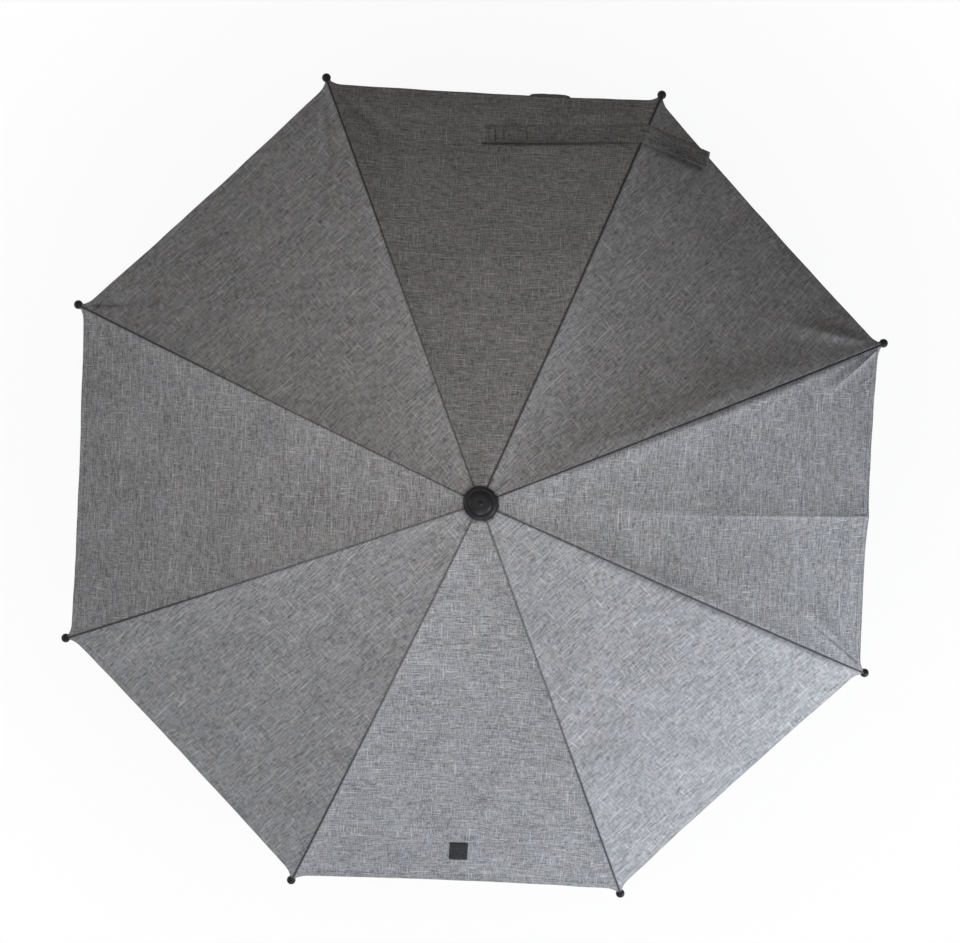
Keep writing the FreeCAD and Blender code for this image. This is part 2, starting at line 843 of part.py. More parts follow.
def make_tilt_button():
    body = new_body("tilt_button")
    profile = sketch_on(body, "XZ_Plane")
    dish = d.button_round / 2
    edge = d.button_radius - d.button_round
    dish_radius = (edge * edge + dish * dish) / (2 * dish)
    outline(profile, [(0, 0), (d.button_radius, 0), (d.button_radius, d.button_height - d.button_round),
                      (edge, d.button_height, d.button_round),
                      (0, d.button_height - dish, -dish_radius)])
    revolve(body, profile, "Z_Axis")
    face = button_face - d.button_well + d.button_lift
    return put(body, tilt + Vector(0, face.number, 0), Rotation(Vector(1, 0, 0), -90))


# Clamp: a C-shaped body with a round seat, a sliding jaw and a screw with a lobed knob
jaw_edge_x = d.tube_radius * cosine(d.jaw_half_angle)
jaw_edge_z = d.tube_radius * sine(d.jaw_half_angle)
arm_outer = d.arm_inner + d.arm_thickness
beam_low = -d.beam_top - d.beam_depth


# The side edges of the back, the beam and the arm, with their rounded corners
def is_clamp_side_edge(edge):
    across = Vector(0, 1, 0)
    half = d.clamp_width / 2
    if not lies_at(edge, across, half) and not lies_at(edge, across, -half):
        return False
    middle = edge.CenterOfMass
    on_back = middle.x < (d.clamp_round - d.clamp_back).number
    on_arm = middle.x > (arm_outer - d.clamp_round).number
    return on_back or on_arm or lies_at(edge, Vector(0, 0, 1), beam_low)


def make_clamp_body():
    body = new_body("clamp_body")
    frame = sketch_on(body, "XZ_Plane")
    outline(frame, [(-jaw_edge_x - d.lip_run, d.clamp_top), (-d.clamp_back, d.clamp_top),
                    (-d.clamp_back, beam_low), (arm_outer, beam_low), (arm_outer, d.arm_rise),
                    (d.arm_inner, d.arm_rise), (d.arm_inner, -d.beam_top), (-d.toe_length, -d.beam_top),
                    (-jaw_edge_x, -jaw_edge_z), (-jaw_edge_x, jaw_edge_z, -d.tube_radius)])
    pad(body, frame, d.clamp_width, both=True)
    outer = (-d.clamp_back.number, arm_outer.number)
    across = Vector(0, 1, 0)
    soften(body, d.clamp_round,
           lambda edge: is_straight_along(edge, across) and min(abs(edge.CenterOfMass.x - x) for x in outer) < 0.01)
    soften(body, d.edge_round, is_clamp_side_edge)
    boss = sketch_on(body, "YZ_Plane", -d.clamp_back)
    circle(boss, d.boss_radius)
    pad(body, boss, d.boss_height, back=True)
    screw_hole = sketch_on(body, "YZ_Plane", arm_outer)
    circle(screw_hole, d.screw_radius + d.running_gap)
    pocket(body, screw_hole, d.arm_thickness)
    bolt_hole = sketch_on(body, "YZ_Plane", -d.clamp_back - d.boss_height)
    circle(bolt_hole, d.bolt_radius + d.running_gap)
    pocket(body, bolt_hole, d.bolt_depth, back=True)
    return body


def make_clamp_jaw():
    body = new_body("clamp_jaw")
    block = sketch_on(body, "XZ_Plane")
    foot = d.slide_gap - d.beam_top
    front = jaw_edge_x + d.lip_run
    outline(block, [(front, d.jaw_rise), (jaw_edge_x, jaw_edge_z), (jaw_edge_x, -jaw_edge_z, -d.tube_radius),
                    (front, foot), (d.jaw_back, foot), (d.jaw_back, d.jaw_rise)])
    pad(body, block, d.jaw_width, both=True)
    soften(body, d.edge_round, lambda edge: lies_at(edge, Vector(1, 0, 0), d.jaw_back))
    seat = sketch_on(body, "YZ_Plane", d.jaw_back)
    circle(seat, d.screw_radius + d.running_gap)
    pocket(body, seat, d.screw_seat)
    return body


# A screw with a lobed knob on its end, along its own Z axis
def make_knob_screw(label, stem_radius, stem_length, hub_radius, lobe_radius, thickness):
    body = new_body(label)
    stem = sketch_on(body, "XY_Plane")
    circle(stem, stem_radius)
    pad(body, stem, stem_length)
    hub = sketch_on(body, "XY_Plane", stem_length)
    circle(hub, hub_radius)
    pad(body, hub, thickness)
    lobe = sketch_on(body, "XY_Plane", stem_length)
    circle(lobe, lobe_radius, hub_radius)
    around(body, pad(body, lobe, thickness), knob_lobes)
    top = stem_length.number + thickness.number
    soften(body, d.knob_round, lambda edge: is_ring_at(edge, top))
    return body


def make_clamp_screw():
    start = d.jaw_back - d.screw_seat + d.slide_gap
    end = arm_outer + d.knob_stand
    body = make_knob_screw("clamp_screw", d.screw_radius, end - start, d.knob_radius,
                           d.lobe_radius, d.knob_thickness)
    return put(body, Vector(start.number, 0, 0), Rotation(Vector(0, 1, 0), 90))


# Swivelling socket: a round knuckle against the clamp's boss, with a tube for the shaft
knuckle_half = d.shaft_offset - d.clamp_back - d.boss_height - d.socket_face_gap


def make_swivel_socket():
    body = new_body("swivel_socket")
    knuckle = sketch_on(body, "YZ_Plane")
    circle(knuckle, d.boss_radius)
    pad(body, knuckle, knuckle_half * 2, both=True)
    tube = sketch_on(body, "XY_Plane")
    circle(tube, d.socket_radius)
    pad(body, tube, d.socket_height)
    bore = sketch_on(body, "XY_Plane", d.socket_height)
    circle(bore, d.shaft_radius)
    pocket(body, bore, d.socket_height - d.socket_floor)
    bolt_hole = sketch_on(body, "YZ_Plane")
    circle(bolt_hole, d.bolt_radius + d.running_gap)
    pocket(body, bolt_hole, both=True)
    soften(body, d.edge_round, lambda edge: is_rim(edge, d.boss_radius) or is_rim(edge, d.socket_radius))
    return put(body, Vector(shaft_x, 0, 0))


def make_swivel_knob():
    tip = d.clamp_back + d.boss_height - d.bolt_depth + d.slide_gap
    face = d.shaft_offset + knuckle_half + d.socket_face_gap
    body = make_knob_screw("swivel_knob", d.bolt_radius, face - tip, d.lock_knob_radius,
                           d.lock_lobe_radius, d.lock_knob_thickness)
    return put(body, Vector(-tip.number, 0, 0), Rotation(Vector(0, 1, 0), -90))


def make_lower_shaft():
    top = d.tilt_height - d.fork_neck - d.fork_sleeve_length + d.sleeve_overlap
    return make_tube("lower_shaft", top - d.socket_floor, d.socket_floor.number)


pieces = [make_clamp_body(), make_clamp_jaw(), make_clamp_screw(), make_swivel_socket(),
          make_swivel_knob(), make_lower_shaft(), make_tilt_fork(), make_tilt_head(), make_tilt_pin(),
          make_tilt_button(), make_upper_shaft(), make_runner_catch(), make_runner(),
          make_ring_wire("runner_ring", runner_height), make_crown_notch(),
          make_ring_wire("crown_ring", d.crown_height.number), make_apex_washer(), make_ferrule_cap()]
for number in range(rib_count):
    pieces += [make_rib(number), make_rib_tip(number), make_stretcher(number)]
    pieces += [make_half_gore(number, "right"), make_half_gore(number, "left")]
pieces.append(make_strap("tie_strap", 1, d.strap_long, d.strap_lean))
pieces.append(make_strap("tie_strap_tail", -1, d.strap_short, d.strap_turn))
doc.recompute()

for item in doc.Objects:
    if "Invalid" in item.State or "Error" in item.State:
        raise RuntimeError("%s did not build" % item.Label)
for piece in pieces:
    if piece.Shape.isNull() or not piece.Shape.isValid():
        raise RuntimeError("%s has no valid solid" % piece.Label)
for piece in pieces:
    piece.Shape.exportStep("parts/%s.step" % piece.Label)

print("pieces %d" % len(pieces))
print("runner height %.4f, arm length %.4f, arm slope %.4f" % (runner_height, arm_length, math.degrees(arm_slope)))
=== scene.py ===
from math import atan, cos, exp, pi, radians, sin, sqrt, tan

import bpy
from mathutils import Matrix, Vector, noise


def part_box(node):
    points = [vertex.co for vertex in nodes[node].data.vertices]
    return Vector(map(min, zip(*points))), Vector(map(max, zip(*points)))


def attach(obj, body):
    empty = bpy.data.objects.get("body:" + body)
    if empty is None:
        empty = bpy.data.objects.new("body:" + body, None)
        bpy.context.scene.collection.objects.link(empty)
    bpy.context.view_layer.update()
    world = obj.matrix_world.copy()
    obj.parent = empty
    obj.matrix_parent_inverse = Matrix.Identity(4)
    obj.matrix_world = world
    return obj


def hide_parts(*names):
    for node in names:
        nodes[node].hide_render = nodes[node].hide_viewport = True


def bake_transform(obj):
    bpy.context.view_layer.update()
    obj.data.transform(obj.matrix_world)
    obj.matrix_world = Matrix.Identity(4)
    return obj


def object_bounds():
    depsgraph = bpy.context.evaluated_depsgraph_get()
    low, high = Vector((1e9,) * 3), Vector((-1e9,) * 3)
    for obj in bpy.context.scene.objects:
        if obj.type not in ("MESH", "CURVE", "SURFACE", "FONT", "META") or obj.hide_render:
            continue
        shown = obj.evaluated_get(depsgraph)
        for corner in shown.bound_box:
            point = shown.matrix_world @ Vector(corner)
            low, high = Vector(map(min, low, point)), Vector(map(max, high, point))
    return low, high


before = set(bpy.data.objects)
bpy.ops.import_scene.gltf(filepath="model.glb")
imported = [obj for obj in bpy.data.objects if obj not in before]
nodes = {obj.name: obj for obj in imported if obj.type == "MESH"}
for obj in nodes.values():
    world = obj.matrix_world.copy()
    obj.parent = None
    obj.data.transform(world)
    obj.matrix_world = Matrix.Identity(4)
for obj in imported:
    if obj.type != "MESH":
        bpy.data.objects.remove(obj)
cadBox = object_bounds()
scene = bpy.context.scene
scene.view_settings.view_transform = "Standard"
mm = 0.001

# The open frame that the cloth lies on, in metres and degrees, as the ribs were made
dome = {
    "shaftX": -38 * mm,
    "crownHeight": 700 * mm,
    "pivotRadius": 11 * mm,
    "crownSlope": 14,
    "ribBend": 1460 * mm,
    "ribLength": 346 * mm,
    "eyeLength": 7 * mm,
    "collarLength": 4.2 * mm,
    "ribCount": 8,
    "firstRib": 22.5,
}
ribNumbers = range(1, dome["ribCount"] + 1)
ribStep = 360 / dome["ribCount"]
halfStep = radians(ribStep / 2)
crownPlace = Vector((dome["shaftX"], 0, dome["crownHeight"]))


def ribAzimuth(number):
    return radians(dome["firstRib"] + ribStep * (number - 1))


def middleAzimuth(number):
    return ribAzimuth(number) + halfStep


def nextRib(number):
    return number % dome["ribCount"] + 1


def outward(azimuth):
    return Vector((cos(azimuth), sin(azimuth), 0))


def sideways(azimuth):
    return Vector((-sin(azimuth), cos(azimuth), 0))


def limited(value):  # kept between 0 and 1
    return min(max(value, 0), 1)


def polar(azimuth, radius, height):
    return Vector((dome["shaftX"] + radius * cos(azimuth), radius * sin(azimuth), height))


def ribPoint(along, above):  # radius from the shaft and height of a point over the rib line
    turn = along / dome["ribBend"]
    reach = dome["ribBend"] + above
    out = dome["eyeLength"] + reach * sin(turn)
    up = reach * cos(turn) - dome["ribBend"]
    slope = radians(dome["crownSlope"])
    radius = dome["pivotRadius"] + out * cos(slope) + up * sin(slope)
    height = dome["crownHeight"] - out * sin(slope) + up * cos(slope)
    return radius, height


# Camera, almost straight above the canopy as in the photograph
photoCamera = {
    "tilt": (3.63, 1.70, -2.75),
    "distance": 2000 * mm,
    "slide": (-3.9 * mm, -15.0 * mm),
    "focalPixels": 2525,
    "pictureWidth": 960,
    "sensor": 36,
}


def placeCamera():
    tiltX, tiltY, roll = (radians(angle) for angle in photoCamera["tilt"])
    turn = Matrix.Rotation(tiltX, 3, "X") @ Matrix.Rotation(tiltY, 3, "Y") @ Matrix.Rotation(roll, 3, "Z")
    tipHeight = ribPoint(dome["ribLength"] + dome["collarLength"], 0)[1]
    slideX, slideY = photoCamera["slide"]
    back = turn.transposed() @ Vector((-slideX, -slideY, photoCamera["distance"]))
    lens = bpy.data.cameras.new("photoCamera")
    lens.sensor_width = photoCamera["sensor"]
    lens.lens = photoCamera["sensor"] * photoCamera["focalPixels"] / photoCamera["pictureWidth"]
    camera = bpy.data.objects.new("photoCamera", lens)
    scene.collection.objects.link(camera)
    place = Vector((dome["shaftX"], 0, tipHeight)) + back
    camera.matrix_world = Matrix.Translation(place) @ turn.transposed().to_4x4()
    scene.camera = camera


placeCamera()
print("camera placed")


# Shader helpers
def addNode(tree, kind, **settings):
    node = tree.nodes.new(kind)
    for key, value in settings.items():
        setattr(node, key, value)
    return node


def put(tree, value, target):  # links a socket, or sets a plain value
    if isinstance(value, bpy.types.NodeSocket):
        tree.links.new(value, target)
    else:
        target.default_value = value


def calc(tree, operation, first, second=0.0, third=0.0):
    node = addNode(tree, "ShaderNodeMath", operation=operation)
    for value, target in zip((first, second, third), node.inputs):
        put(tree, value, target)
    return node.outputs[0]


def vectorCalc(tree, operation, first, second=None):
    node = addNode(tree, "ShaderNodeVectorMath", operation=operation)
    put(tree, first, node.inputs[0])
    if second is not None:
        put(tree, second, node.inputs[1])
    return node


def blendColour(tree, mode, share, first, second):
    node = addNode(tree, "ShaderNodeMix", data_type="RGBA", blend_type=mode)
    put(tree, share, node.inputs["Factor"])
    put(tree, first, node.inputs[6])
    put(tree, second, node.inputs[7])
    return node.outputs[2]


def ramp(tree, value, low, high):  # 0 below low, 1 above high, smooth between
    node = addNode(tree, "ShaderNodeMapRange", interpolation_type="SMOOTHSTEP")
    put(tree, value, node.inputs["Value"])
    put(tree, low, node.inputs["From Min"])
    put(tree, high, node.inputs["From Max"])
    return node.outputs[0]


def noiseAt(tree, place, scale, detail, roughness):
    node = addNode(tree, "ShaderNodeTexNoise")
    put(tree, place, node.inputs["Vector"])
    node.inputs["Scale"].default_value = scale
    node.inputs["Detail"].default_value = detail
    node.inputs["Roughness"].default_value = roughness
    return node.outputs[0]


def stretched(tree, across, along, scaleAcross, scaleAlong, seed):
    node = addNode(tree, "ShaderNodeCombineXYZ")
    put(tree, calc(tree, "MULTIPLY", across, scaleAcross), node.inputs[0])
    put(tree, calc(tree, "MULTIPLY", along, scaleAlong), node.inputs[1])
    node.inputs[2].default_value = seed
    return node.outputs[0]


def newGroup(name, inputs, outputs):
    group = bpy.data.node_groups.new(name, "ShaderNodeTree")
    for label, kind, value in inputs:
        socket = group.interface.new_socket(label, in_out="INPUT", socket_type="NodeSocket" + kind)
        socket.default_value = value
    for label, kind in outputs:
        group.interface.new_socket(label, in_out="OUTPUT", socket_type="NodeSocket" + kind)
    return group, addNode(group, "NodeGroupInput").outputs, addNode(group, "NodeGroupOutput").inputs


def placeGroup(tree, group, **values):
    node = addNode(tree, "ShaderNodeGroup", node_tree=group)
    for label, value in values.items():
        put(tree, value, node.inputs[label])
    return node


# Melange weave: light and dark yarns both ways, with long streaks, slubs and an over and under bump
melange = {
    "yarns": (150, 1350),  # changes for each metre along and across a yarn
    "streaks": (45, 1100),
    "darkStreaks": (150, 1200),
    "cloud": 26,
    "grain": 950,
    "tint": 75,
    "slubs": (0.62, 0.74),  # from where a streak shows to where it is full
    "darkSlubs": (0.58, 0.74),
    "tone": 0.44,  # middle tone, from the dark yarn at 0 to the light one at 1
    "shares": {"weft": 1.45, "warp": 1.3, "cloud": 0.30, "grain": 1.2, "slub": 0.42, "darkSlub": -0.30,
               "weave": 0.22},
    "weaveRise": 0.15,
    "tintSpan": (0.35, 0.65),
    "hues": ((0.988, 1.0, 1.014, 1), (1.014, 1.0, 0.986, 1)),  # cool and warm
}


def makeMelangeGroup():
    group, given, made = newGroup(
        "melangeWeave",
        [("Place", "Vector", (0, 0, 0)), ("Light", "Color", (0.4, 0.4, 0.4, 1)),
         ("Dark", "Color", (0.1, 0.1, 0.1, 1)), ("Yarn", "Float", 0.00045)],
        [("Color", "Color"), ("Height", "Float")])
    place = given["Place"]
    split = addNode(group, "ShaderNodeSeparateXYZ")
    put(group, place, split.inputs[0])
    across, along = split.outputs[0], split.outputs[1]

    def drawnOut(scales, seed, detail=1.0, roughness=0.5):
        return noiseAt(group, stretched(group, across, along, *scales, seed), 1.0, detail, roughness)

    weft = drawnOut(melange["yarns"], 0.3, 3.0, 0.65)
    warp = drawnOut(melange["yarns"][::-1], 7.1, 3.0, 0.65)
    cloud = noiseAt(group, place, melange["cloud"], 3.0, 0.55)
    grain = noiseAt(group, place, melange["grain"], 2.0, 0.6)
    tint = noiseAt(group, place, melange["tint"], 2.0, 0.6)
    weftSlubs = ramp(group, drawnOut(melange["streaks"], 2.7), *melange["slubs"])
    warpSlubs = ramp(group, drawnOut(melange["streaks"][::-1], 5.9), *melange["slubs"])
    slubs = calc(group, "ADD", weftSlubs, warpSlubs)
    darkSlubs = ramp(group, drawnOut(melange["darkStreaks"], 9.4), *melange["darkSlubs"])
    perYarn = calc(group, "DIVIDE", pi, given["Yarn"])
    waveAcross = calc(group, "SINE", calc(group, "MULTIPLY", across, perYarn))
    waveAlong = calc(group, "SINE", calc(group, "MULTIPLY", along, perYarn))
    over = calc(group, "GREATER_THAN", calc(group, "MULTIPLY", waveAcross, waveAlong), 0.0)
    under = calc(group, "SUBTRACT", 1.0, over)
    weftTop = calc(group, "MULTIPLY", calc(group, "ABSOLUTE", waveAlong), over)
    warpTop = calc(group, "MULTIPLY", calc(group, "ABSOLUTE", waveAcross), under)
    height = calc(group, "ADD", weftTop, warpTop)
    tone = melange["tone"]
    parts = {"weft": (weft, 0.5), "warp": (warp, 0.5), "cloud": (cloud, 0.5), "grain": (grain, 0.5),
             "slub": (slubs, 0.0), "darkSlub": (darkSlubs, 0.0), "weave": (height, 0.64)}
    for name, (value, middle) in parts.items():
        uneven = calc(group, "SUBTRACT", value, middle)
        tone = calc(group, "MULTIPLY_ADD", uneven, melange["shares"][name], tone)
    colour = blendColour(group, "MIX", tone, given["Dark"], given["Light"])
    hue = blendColour(group, "MIX", ramp(group, tint, *melange["tintSpan"]), *melange["hues"])
    put(group, blendColour(group, "MULTIPLY", 1.0, colour, hue), made["Color"])
    full = calc(group, "ADD", weft, warp)  # full yarns stand higher
    put(group, calc(group, "MULTIPLY_ADD", height, melange["weaveRise"], full), made["Height"])
    return group


# Moulded grain: a fine bump with soft cloudy changes of tone and gloss, for plastics and lacquer
grainLook = {
    "fine": 2600,  # changes for each metre
    "cloud": 70,
    "specks": 640,
    "speckSpan": (0.58, 0.80),
    "speckShare": 0.6,
    "cloudRise": 0.4,
    "bump": 0.5,
    "dust": (0.32, 0.31, 0.30, 1),
    "metalDust": (0.30, 0.29, 0.28, 1),
}


def makeGrainGroup():
    group, given, made = newGroup(
        "mouldedGrain",
        [("Colour", "Color", (0.05, 0.05, 0.05, 1)),
         ("Dust", "Color", (0.3, 0.3, 0.3, 1)), ("Dusting", "Float", 0.06),
         ("Gloss Low", "Float", 0.3), ("Gloss High", "Float", 0.5)],
        [("Color", "Color"), ("Roughness", "Float"), ("Height", "Float")])
    place = addNode(group, "ShaderNodeTexCoord").outputs["Object"]
    fine = noiseAt(group, place, grainLook["fine"], 2.0, 0.6)
    cloud = noiseAt(group, place, grainLook["cloud"], 4.0, 0.6)
    specks = ramp(group, noiseAt(group, place, grainLook["specks"], 3.0, 0.7), *grainLook["speckSpan"])
    dusty = calc(group, "MULTIPLY_ADD", specks, grainLook["speckShare"], cloud)
    dusty = calc(group, "MULTIPLY", dusty, given["Dusting"])
    colour = blendColour(group, "MIX", dusty, given["Colour"], given["Dust"])
    put(group, colour, made["Color"])
    span = calc(group, "SUBTRACT", given["Gloss High"], given["Gloss Low"])
    put(group, calc(group, "MULTIPLY_ADD", cloud, span, given["Gloss Low"]), made["Roughness"])
    put(group, calc(group, "MULTIPLY_ADD", cloud, grainLook["cloudRise"], fine), made["Height"])
    return group


# Line mask: a soft line between two places on the flat cloth, fading towards its end, for pressed lines and
# painted shade lines
def makeMarkGroup():
    group, given, made = newGroup(
        "softLineMask",
        [("Place", "Vector", (0, 0, 0)), ("Start", "Vector", (0, 0, 0)),
         ("End", "Vector", (0, 0, 0)), ("Width", "Float", 0.001)],
        [("Mask", "Float")])
    run = vectorCalc(group, "SUBTRACT", given["End"], given["Start"]).outputs["Vector"]
    reach = vectorCalc(group, "SUBTRACT", given["Place"], given["Start"]).outputs["Vector"]
    ahead = vectorCalc(group, "DOT_PRODUCT", reach, run).outputs["Value"]
    part = calc(group, "DIVIDE", ahead, vectorCalc(group, "DOT_PRODUCT", run, run).outputs["Value"])
    part = calc(group, "MINIMUM", calc(group, "MAXIMUM", part, 0.0), 1.0)
    foot = vectorCalc(group, "SCALE", run)
    put(group, part, foot.inputs["Scale"])
    gap = vectorCalc(group, "DISTANCE", reach, foot.outputs["Vector"]).outputs["Value"]
    gap = calc(group, "DIVIDE", gap, given["Width"])
    soft = calc(group, "EXPONENT", calc(group, "MULTIPLY", calc(group, "MULTIPLY", gap, gap), -1.0))
    fade = calc(group, "SUBTRACT", 1.0, calc(group, "POWER", part, 3.0))
    put(group, calc(group, "MULTIPLY", soft, fade), made["Mask"])
    return group


melangeGroup = makeMelangeGroup()
markGroup = makeMarkGroup()
grainGroup = makeGrainGroup()


def newMaterial(name):
    material = bpy.data.materials.new(name)
    material.use_nodes = True
    tree = material.node_tree
    return material, tree, tree.nodes["Principled BSDF"]


def mixShaders(tree, share, first, second, output):
    mixed = addNode(tree, "ShaderNodeMixShader")
    put(tree, share, mixed.inputs[0])
    put(tree, first.outputs[0], mixed.inputs[1])
    put(tree, second.outputs[0], mixed.inputs[2])
    put(tree, mixed.outputs[0], output.inputs[0])


def bumpFrom(tree, height, strength, depth):
    node = addNode(tree, "ShaderNodeBump")
    node.inputs["Strength"].default_value = strength
    node.inputs["Distance"].default_value = depth
    put(tree, height, node.inputs["Height"])
    return node.outputs[0]


# Cloths; the underside's is the canopy's without the pressed lines and painted shade lines
clothLook = {
    # dark colour of the seam lines, also used for the painted shade lines
    "seam": (0.020, 0.019, 0.022, 1),
    "roughness": 0.88,
    "specular": 0.25,
    "turnedGores": (1, 5),  # cut with the weave the other way round
    "goreShift": (0.83, 0.29),  # from one gore's place on the flat cloth to the next
    "yarn": 0.45 * mm,
    "bump": 0.26 * mm,
}
yarnColours = {  # light and dark yarn
    "canopyCloth": ((0.423, 0.422, 0.426, 1), (0.081, 0.081, 0.082, 1)),
    "strapCloth": ((0.39, 0.395, 0.40, 1), (0.075, 0.076, 0.078, 1)),
    "patchCloth": ((0.030, 0.030, 0.032, 1), (0.008, 0.008, 0.009, 1)),
    "washerCloth": ((0.055, 0.055, 0.058, 1), (0.012, 0.012, 0.013, 1)),
}
yarnColours["undersideCloth"] = yarnColours["canopyCloth"]


def makeCloth(name):
    material, tree, shader = newMaterial(name)
    light, dark = yarnColours[name]
    place = addNode(tree, "ShaderNodeUVMap", uv_map="cut").outputs[0]
    weave = placeGroup(tree, melangeGroup, Place=place, Light=light, Dark=dark, Yarn=clothLook["yarn"])
    shade = addNode(tree, "ShaderNodeAttribute", attribute_name="seamShade")
    colour = blendColour(tree, "MIX", shade.outputs["Fac"], weave.outputs["Color"], clothLook["seam"])
    put(tree, colour, shader.inputs["Base Color"])
    shader.inputs["Roughness"].default_value = clothLook["roughness"]
    shader.inputs["Specular IOR Level"].default_value = clothLook["specular"]
    put(tree, bumpFrom(tree, weave.outputs["Height"], 1.0, clothLook["bump"]), shader.inputs["Normal"])
    return material


def cutPlace(number, aside, along):  # where a point of a gore lies on the flat cloth
    if number in clothLook["turnedGores"]:
        aside, along = along, aside
    shiftAside, shiftAlong = clothLook["goreShift"]
    return aside + number * shiftAside, along + number * shiftAlong


def pressAndShade(material, start, end, width, dark, rise=0.0):  # a line on the cloth, raised or sunk, with painted shade where it is dark
    tree = material.node_tree
    shader = tree.nodes["Principled BSDF"]
    place = addNode(tree, "ShaderNodeUVMap", uv_map="cut").outputs[0]
    line = placeGroup(tree, markGroup, Place=place, Start=(*start, 0), End=(*end, 0), Width=width)
    mark = line.outputs["Mask"]
    colour = shader.inputs["Base Color"].links[0].from_socket
    darkened = blendColour(tree, "MIX", calc(tree, "MULTIPLY", mark, dark), colour, clothLook["seam"])
    put(tree, darkened, shader.inputs["Base Color"])
    bump = shader.inputs["Normal"].links[0].from_node
    height = bump.inputs["Height"].links[0].from_socket
    put(tree, calc(tree, "MULTIPLY_ADD", mark, rise / clothLook["bump"], height), bump.inputs["Height"])


cloths = {name: makeCloth(name) for name in yarnColours}

# Finishes of the frame and threads: colour, dusting, gloss from and to, bump in mm, other shader values
finishLooks = {
    "threadGrey": ((0.085, 0.086, 0.090, 1), 0.05, (0.75, 0.9), 0.02, {}),
    "threadBlack": ((0.014, 0.014, 0.015, 1), 0.04, (0.7, 0.85), 0.02, {}),
    "glossBlack": ((0.007, 0.007, 0.008, 1), 0.015, (0.38, 0.52), 0.01, {"Specular IOR Level": 0.12}),
    "mattBlack": ((0.026, 0.026, 0.028, 1), 0.07, (0.46, 0.62), 0.05, {}),
    "knobBlack": ((0.045, 0.045, 0.048, 1), 0.08, (0.38, 0.55), 0.06, {}),
    "shaftLacquer": ((0.030, 0.030, 0.033, 1), 0.05, (0.24, 0.38), 0.01, {"Coat Weight": 0.4}),
    "ribLacquer": ((0.028, 0.028, 0.030, 1), 0.06, (0.28, 0.44), 0.01, {"Coat Weight": 0.3}),
    "zincSteel": ((0.56, 0.56, 0.57, 1), 0.30, (0.24, 0.42), 0.01, {"Metallic": 1.0}),
}


def makeFinish(name, colour, dusting, gloss, bump, others):
    material, tree, shader = newMaterial(name)
    dust = grainLook["metalDust" if "Metallic" in others else "dust"]
    grain = placeGroup(tree, grainGroup, Colour=colour, Dust=dust, Dusting=dusting,
                       **{"Gloss Low": gloss[0], "Gloss High": gloss[1]})
    put(tree, grain.outputs["Color"], shader.inputs["Base Color"])
    put(tree, grain.outputs["Roughness"], shader.inputs["Roughness"])
    normal = bumpFrom(tree, grain.outputs["Height"], grainLook["bump"], bump * mm)
    put(tree, normal, shader.inputs["Normal"])
    for label, value in others.items():
        shader.inputs[label].default_value = value
    return material


finishes = {name: makeFinish(name, *look) for name, look in finishLooks.items()}
print("materials made")

nodeFinishes = {
    "mattBlack": ["clamp_body", "clamp_jaw", "swivel_socket", "tilt_fork", "tilt_head", "runner",
                  "crown_notch"],
    "knobBlack": ["clamp_screw", "swivel_knob", "tilt_button"],
    "shaftLacquer": ["lower_shaft", "upper_shaft"],
    "zincSteel": ["tilt_pin", "runner_catch", "runner_ring", "crown_ring"],
    "glossBlack": ["ferrule_cap"] + ["rib_tip_%d" % number for number in ribNumbers],
    "ribLacquer": [name % number for number in ribNumbers for name in ("rib_%d", "stretcher_%d")],
}
for finish, names in nodeFinishes.items():
    for name in names:
        nodes[name].data.materials.clear()
        nodes[name].data.materials.append(finishes[finish])
print("frame parts finished")

# Canopy cloth: one gore between each two ribs, with its seam allowances and its turned hem
canopy = {
    "level": 2.25 * mm,  # middle of the cloth over the middle of the rib
    "thickness": 0.3 * mm,
    "apexHeight": 701.95 * mm,
    "innerAlong": -7.0 * mm,  # under the washer
    "corner": 343.2 * mm,  # where the hem's line meets the rib
    "neckReach": 3.2 * mm,  # the cloth runs on to the ball tip
    "neckWidth": 4.5 * mm,
    "scallop": 1.4 * mm,
    "sag": 3.5 * mm,
    "roll": 0.55 * mm,
    "rollRise": 0.6 * mm,
    "rollFade": 6.0 * mm,
    "allowance": 6.0 * mm,
    "layerGap": 0.6 * mm,
    "hemTurn": 7.0 * mm,
    "hemWave": 0.35 * mm,
    "hemWaves": 16,
    "hemEase": 20 * mm,  # the wave starts from the seams
    "slack": 0.55 * mm,
    "slackScale": (24, 17, 7.3),
    "seamShadeWidth": 0.92 * mm,
    "seamShade": 0.66,  # near the crown; it grows to full at the rim
    "shadeGrows": (0.4, 0.35),  # from a share of the rib, over a share
    "boldSeams": (1, 2, 8),
    "boldShade": 0.9,
    "hemShadeWidth": 0.7 * mm,
    "hemShade": 0.45,
    "middleColumns": 70,
    "rows": 104,
    "rowSpread": 0.85,  # below 1 the rows stand closer at the rim
    "seamMost": 0.42,  # most of a narrow gore that one seam's columns take
    "foldHalf": 6.0 * mm,  # half the width that turns when the gore folds
}
seamSteps = [0.0, 0.25 * mm, 0.6 * mm, 1.1 * mm, 1.8 * mm, 2.8 * mm, 4.2 * mm, 6.0 * mm]
allowanceSteps = [1.0, 0.6, 0.25, 0.06]  # shares of the allowance, from its raw edge to the seam
hemSteps = [0.03, 0.3, 0.65, 1.0]  # shares of the turned hem, from the fold to its stitched edge
hemRound = [(1.1 * mm, 0.0), (0.4 * mm, 0.06 * mm), (0.0, 0.26 * mm)]  # back from the edge, and its fall

# A fuller roll on one side of some seams, fading out into the gore: rib, side, height, rise and fade in mm
seamFolds = [
    (1, 1, 1.7, 6.5, 24),
    (1, -1, 1.4, 3.2, 14),
    (8, -1, 1.3, 3.0, 12),
    (8, 1, 0.5, 2.0, 9),
]

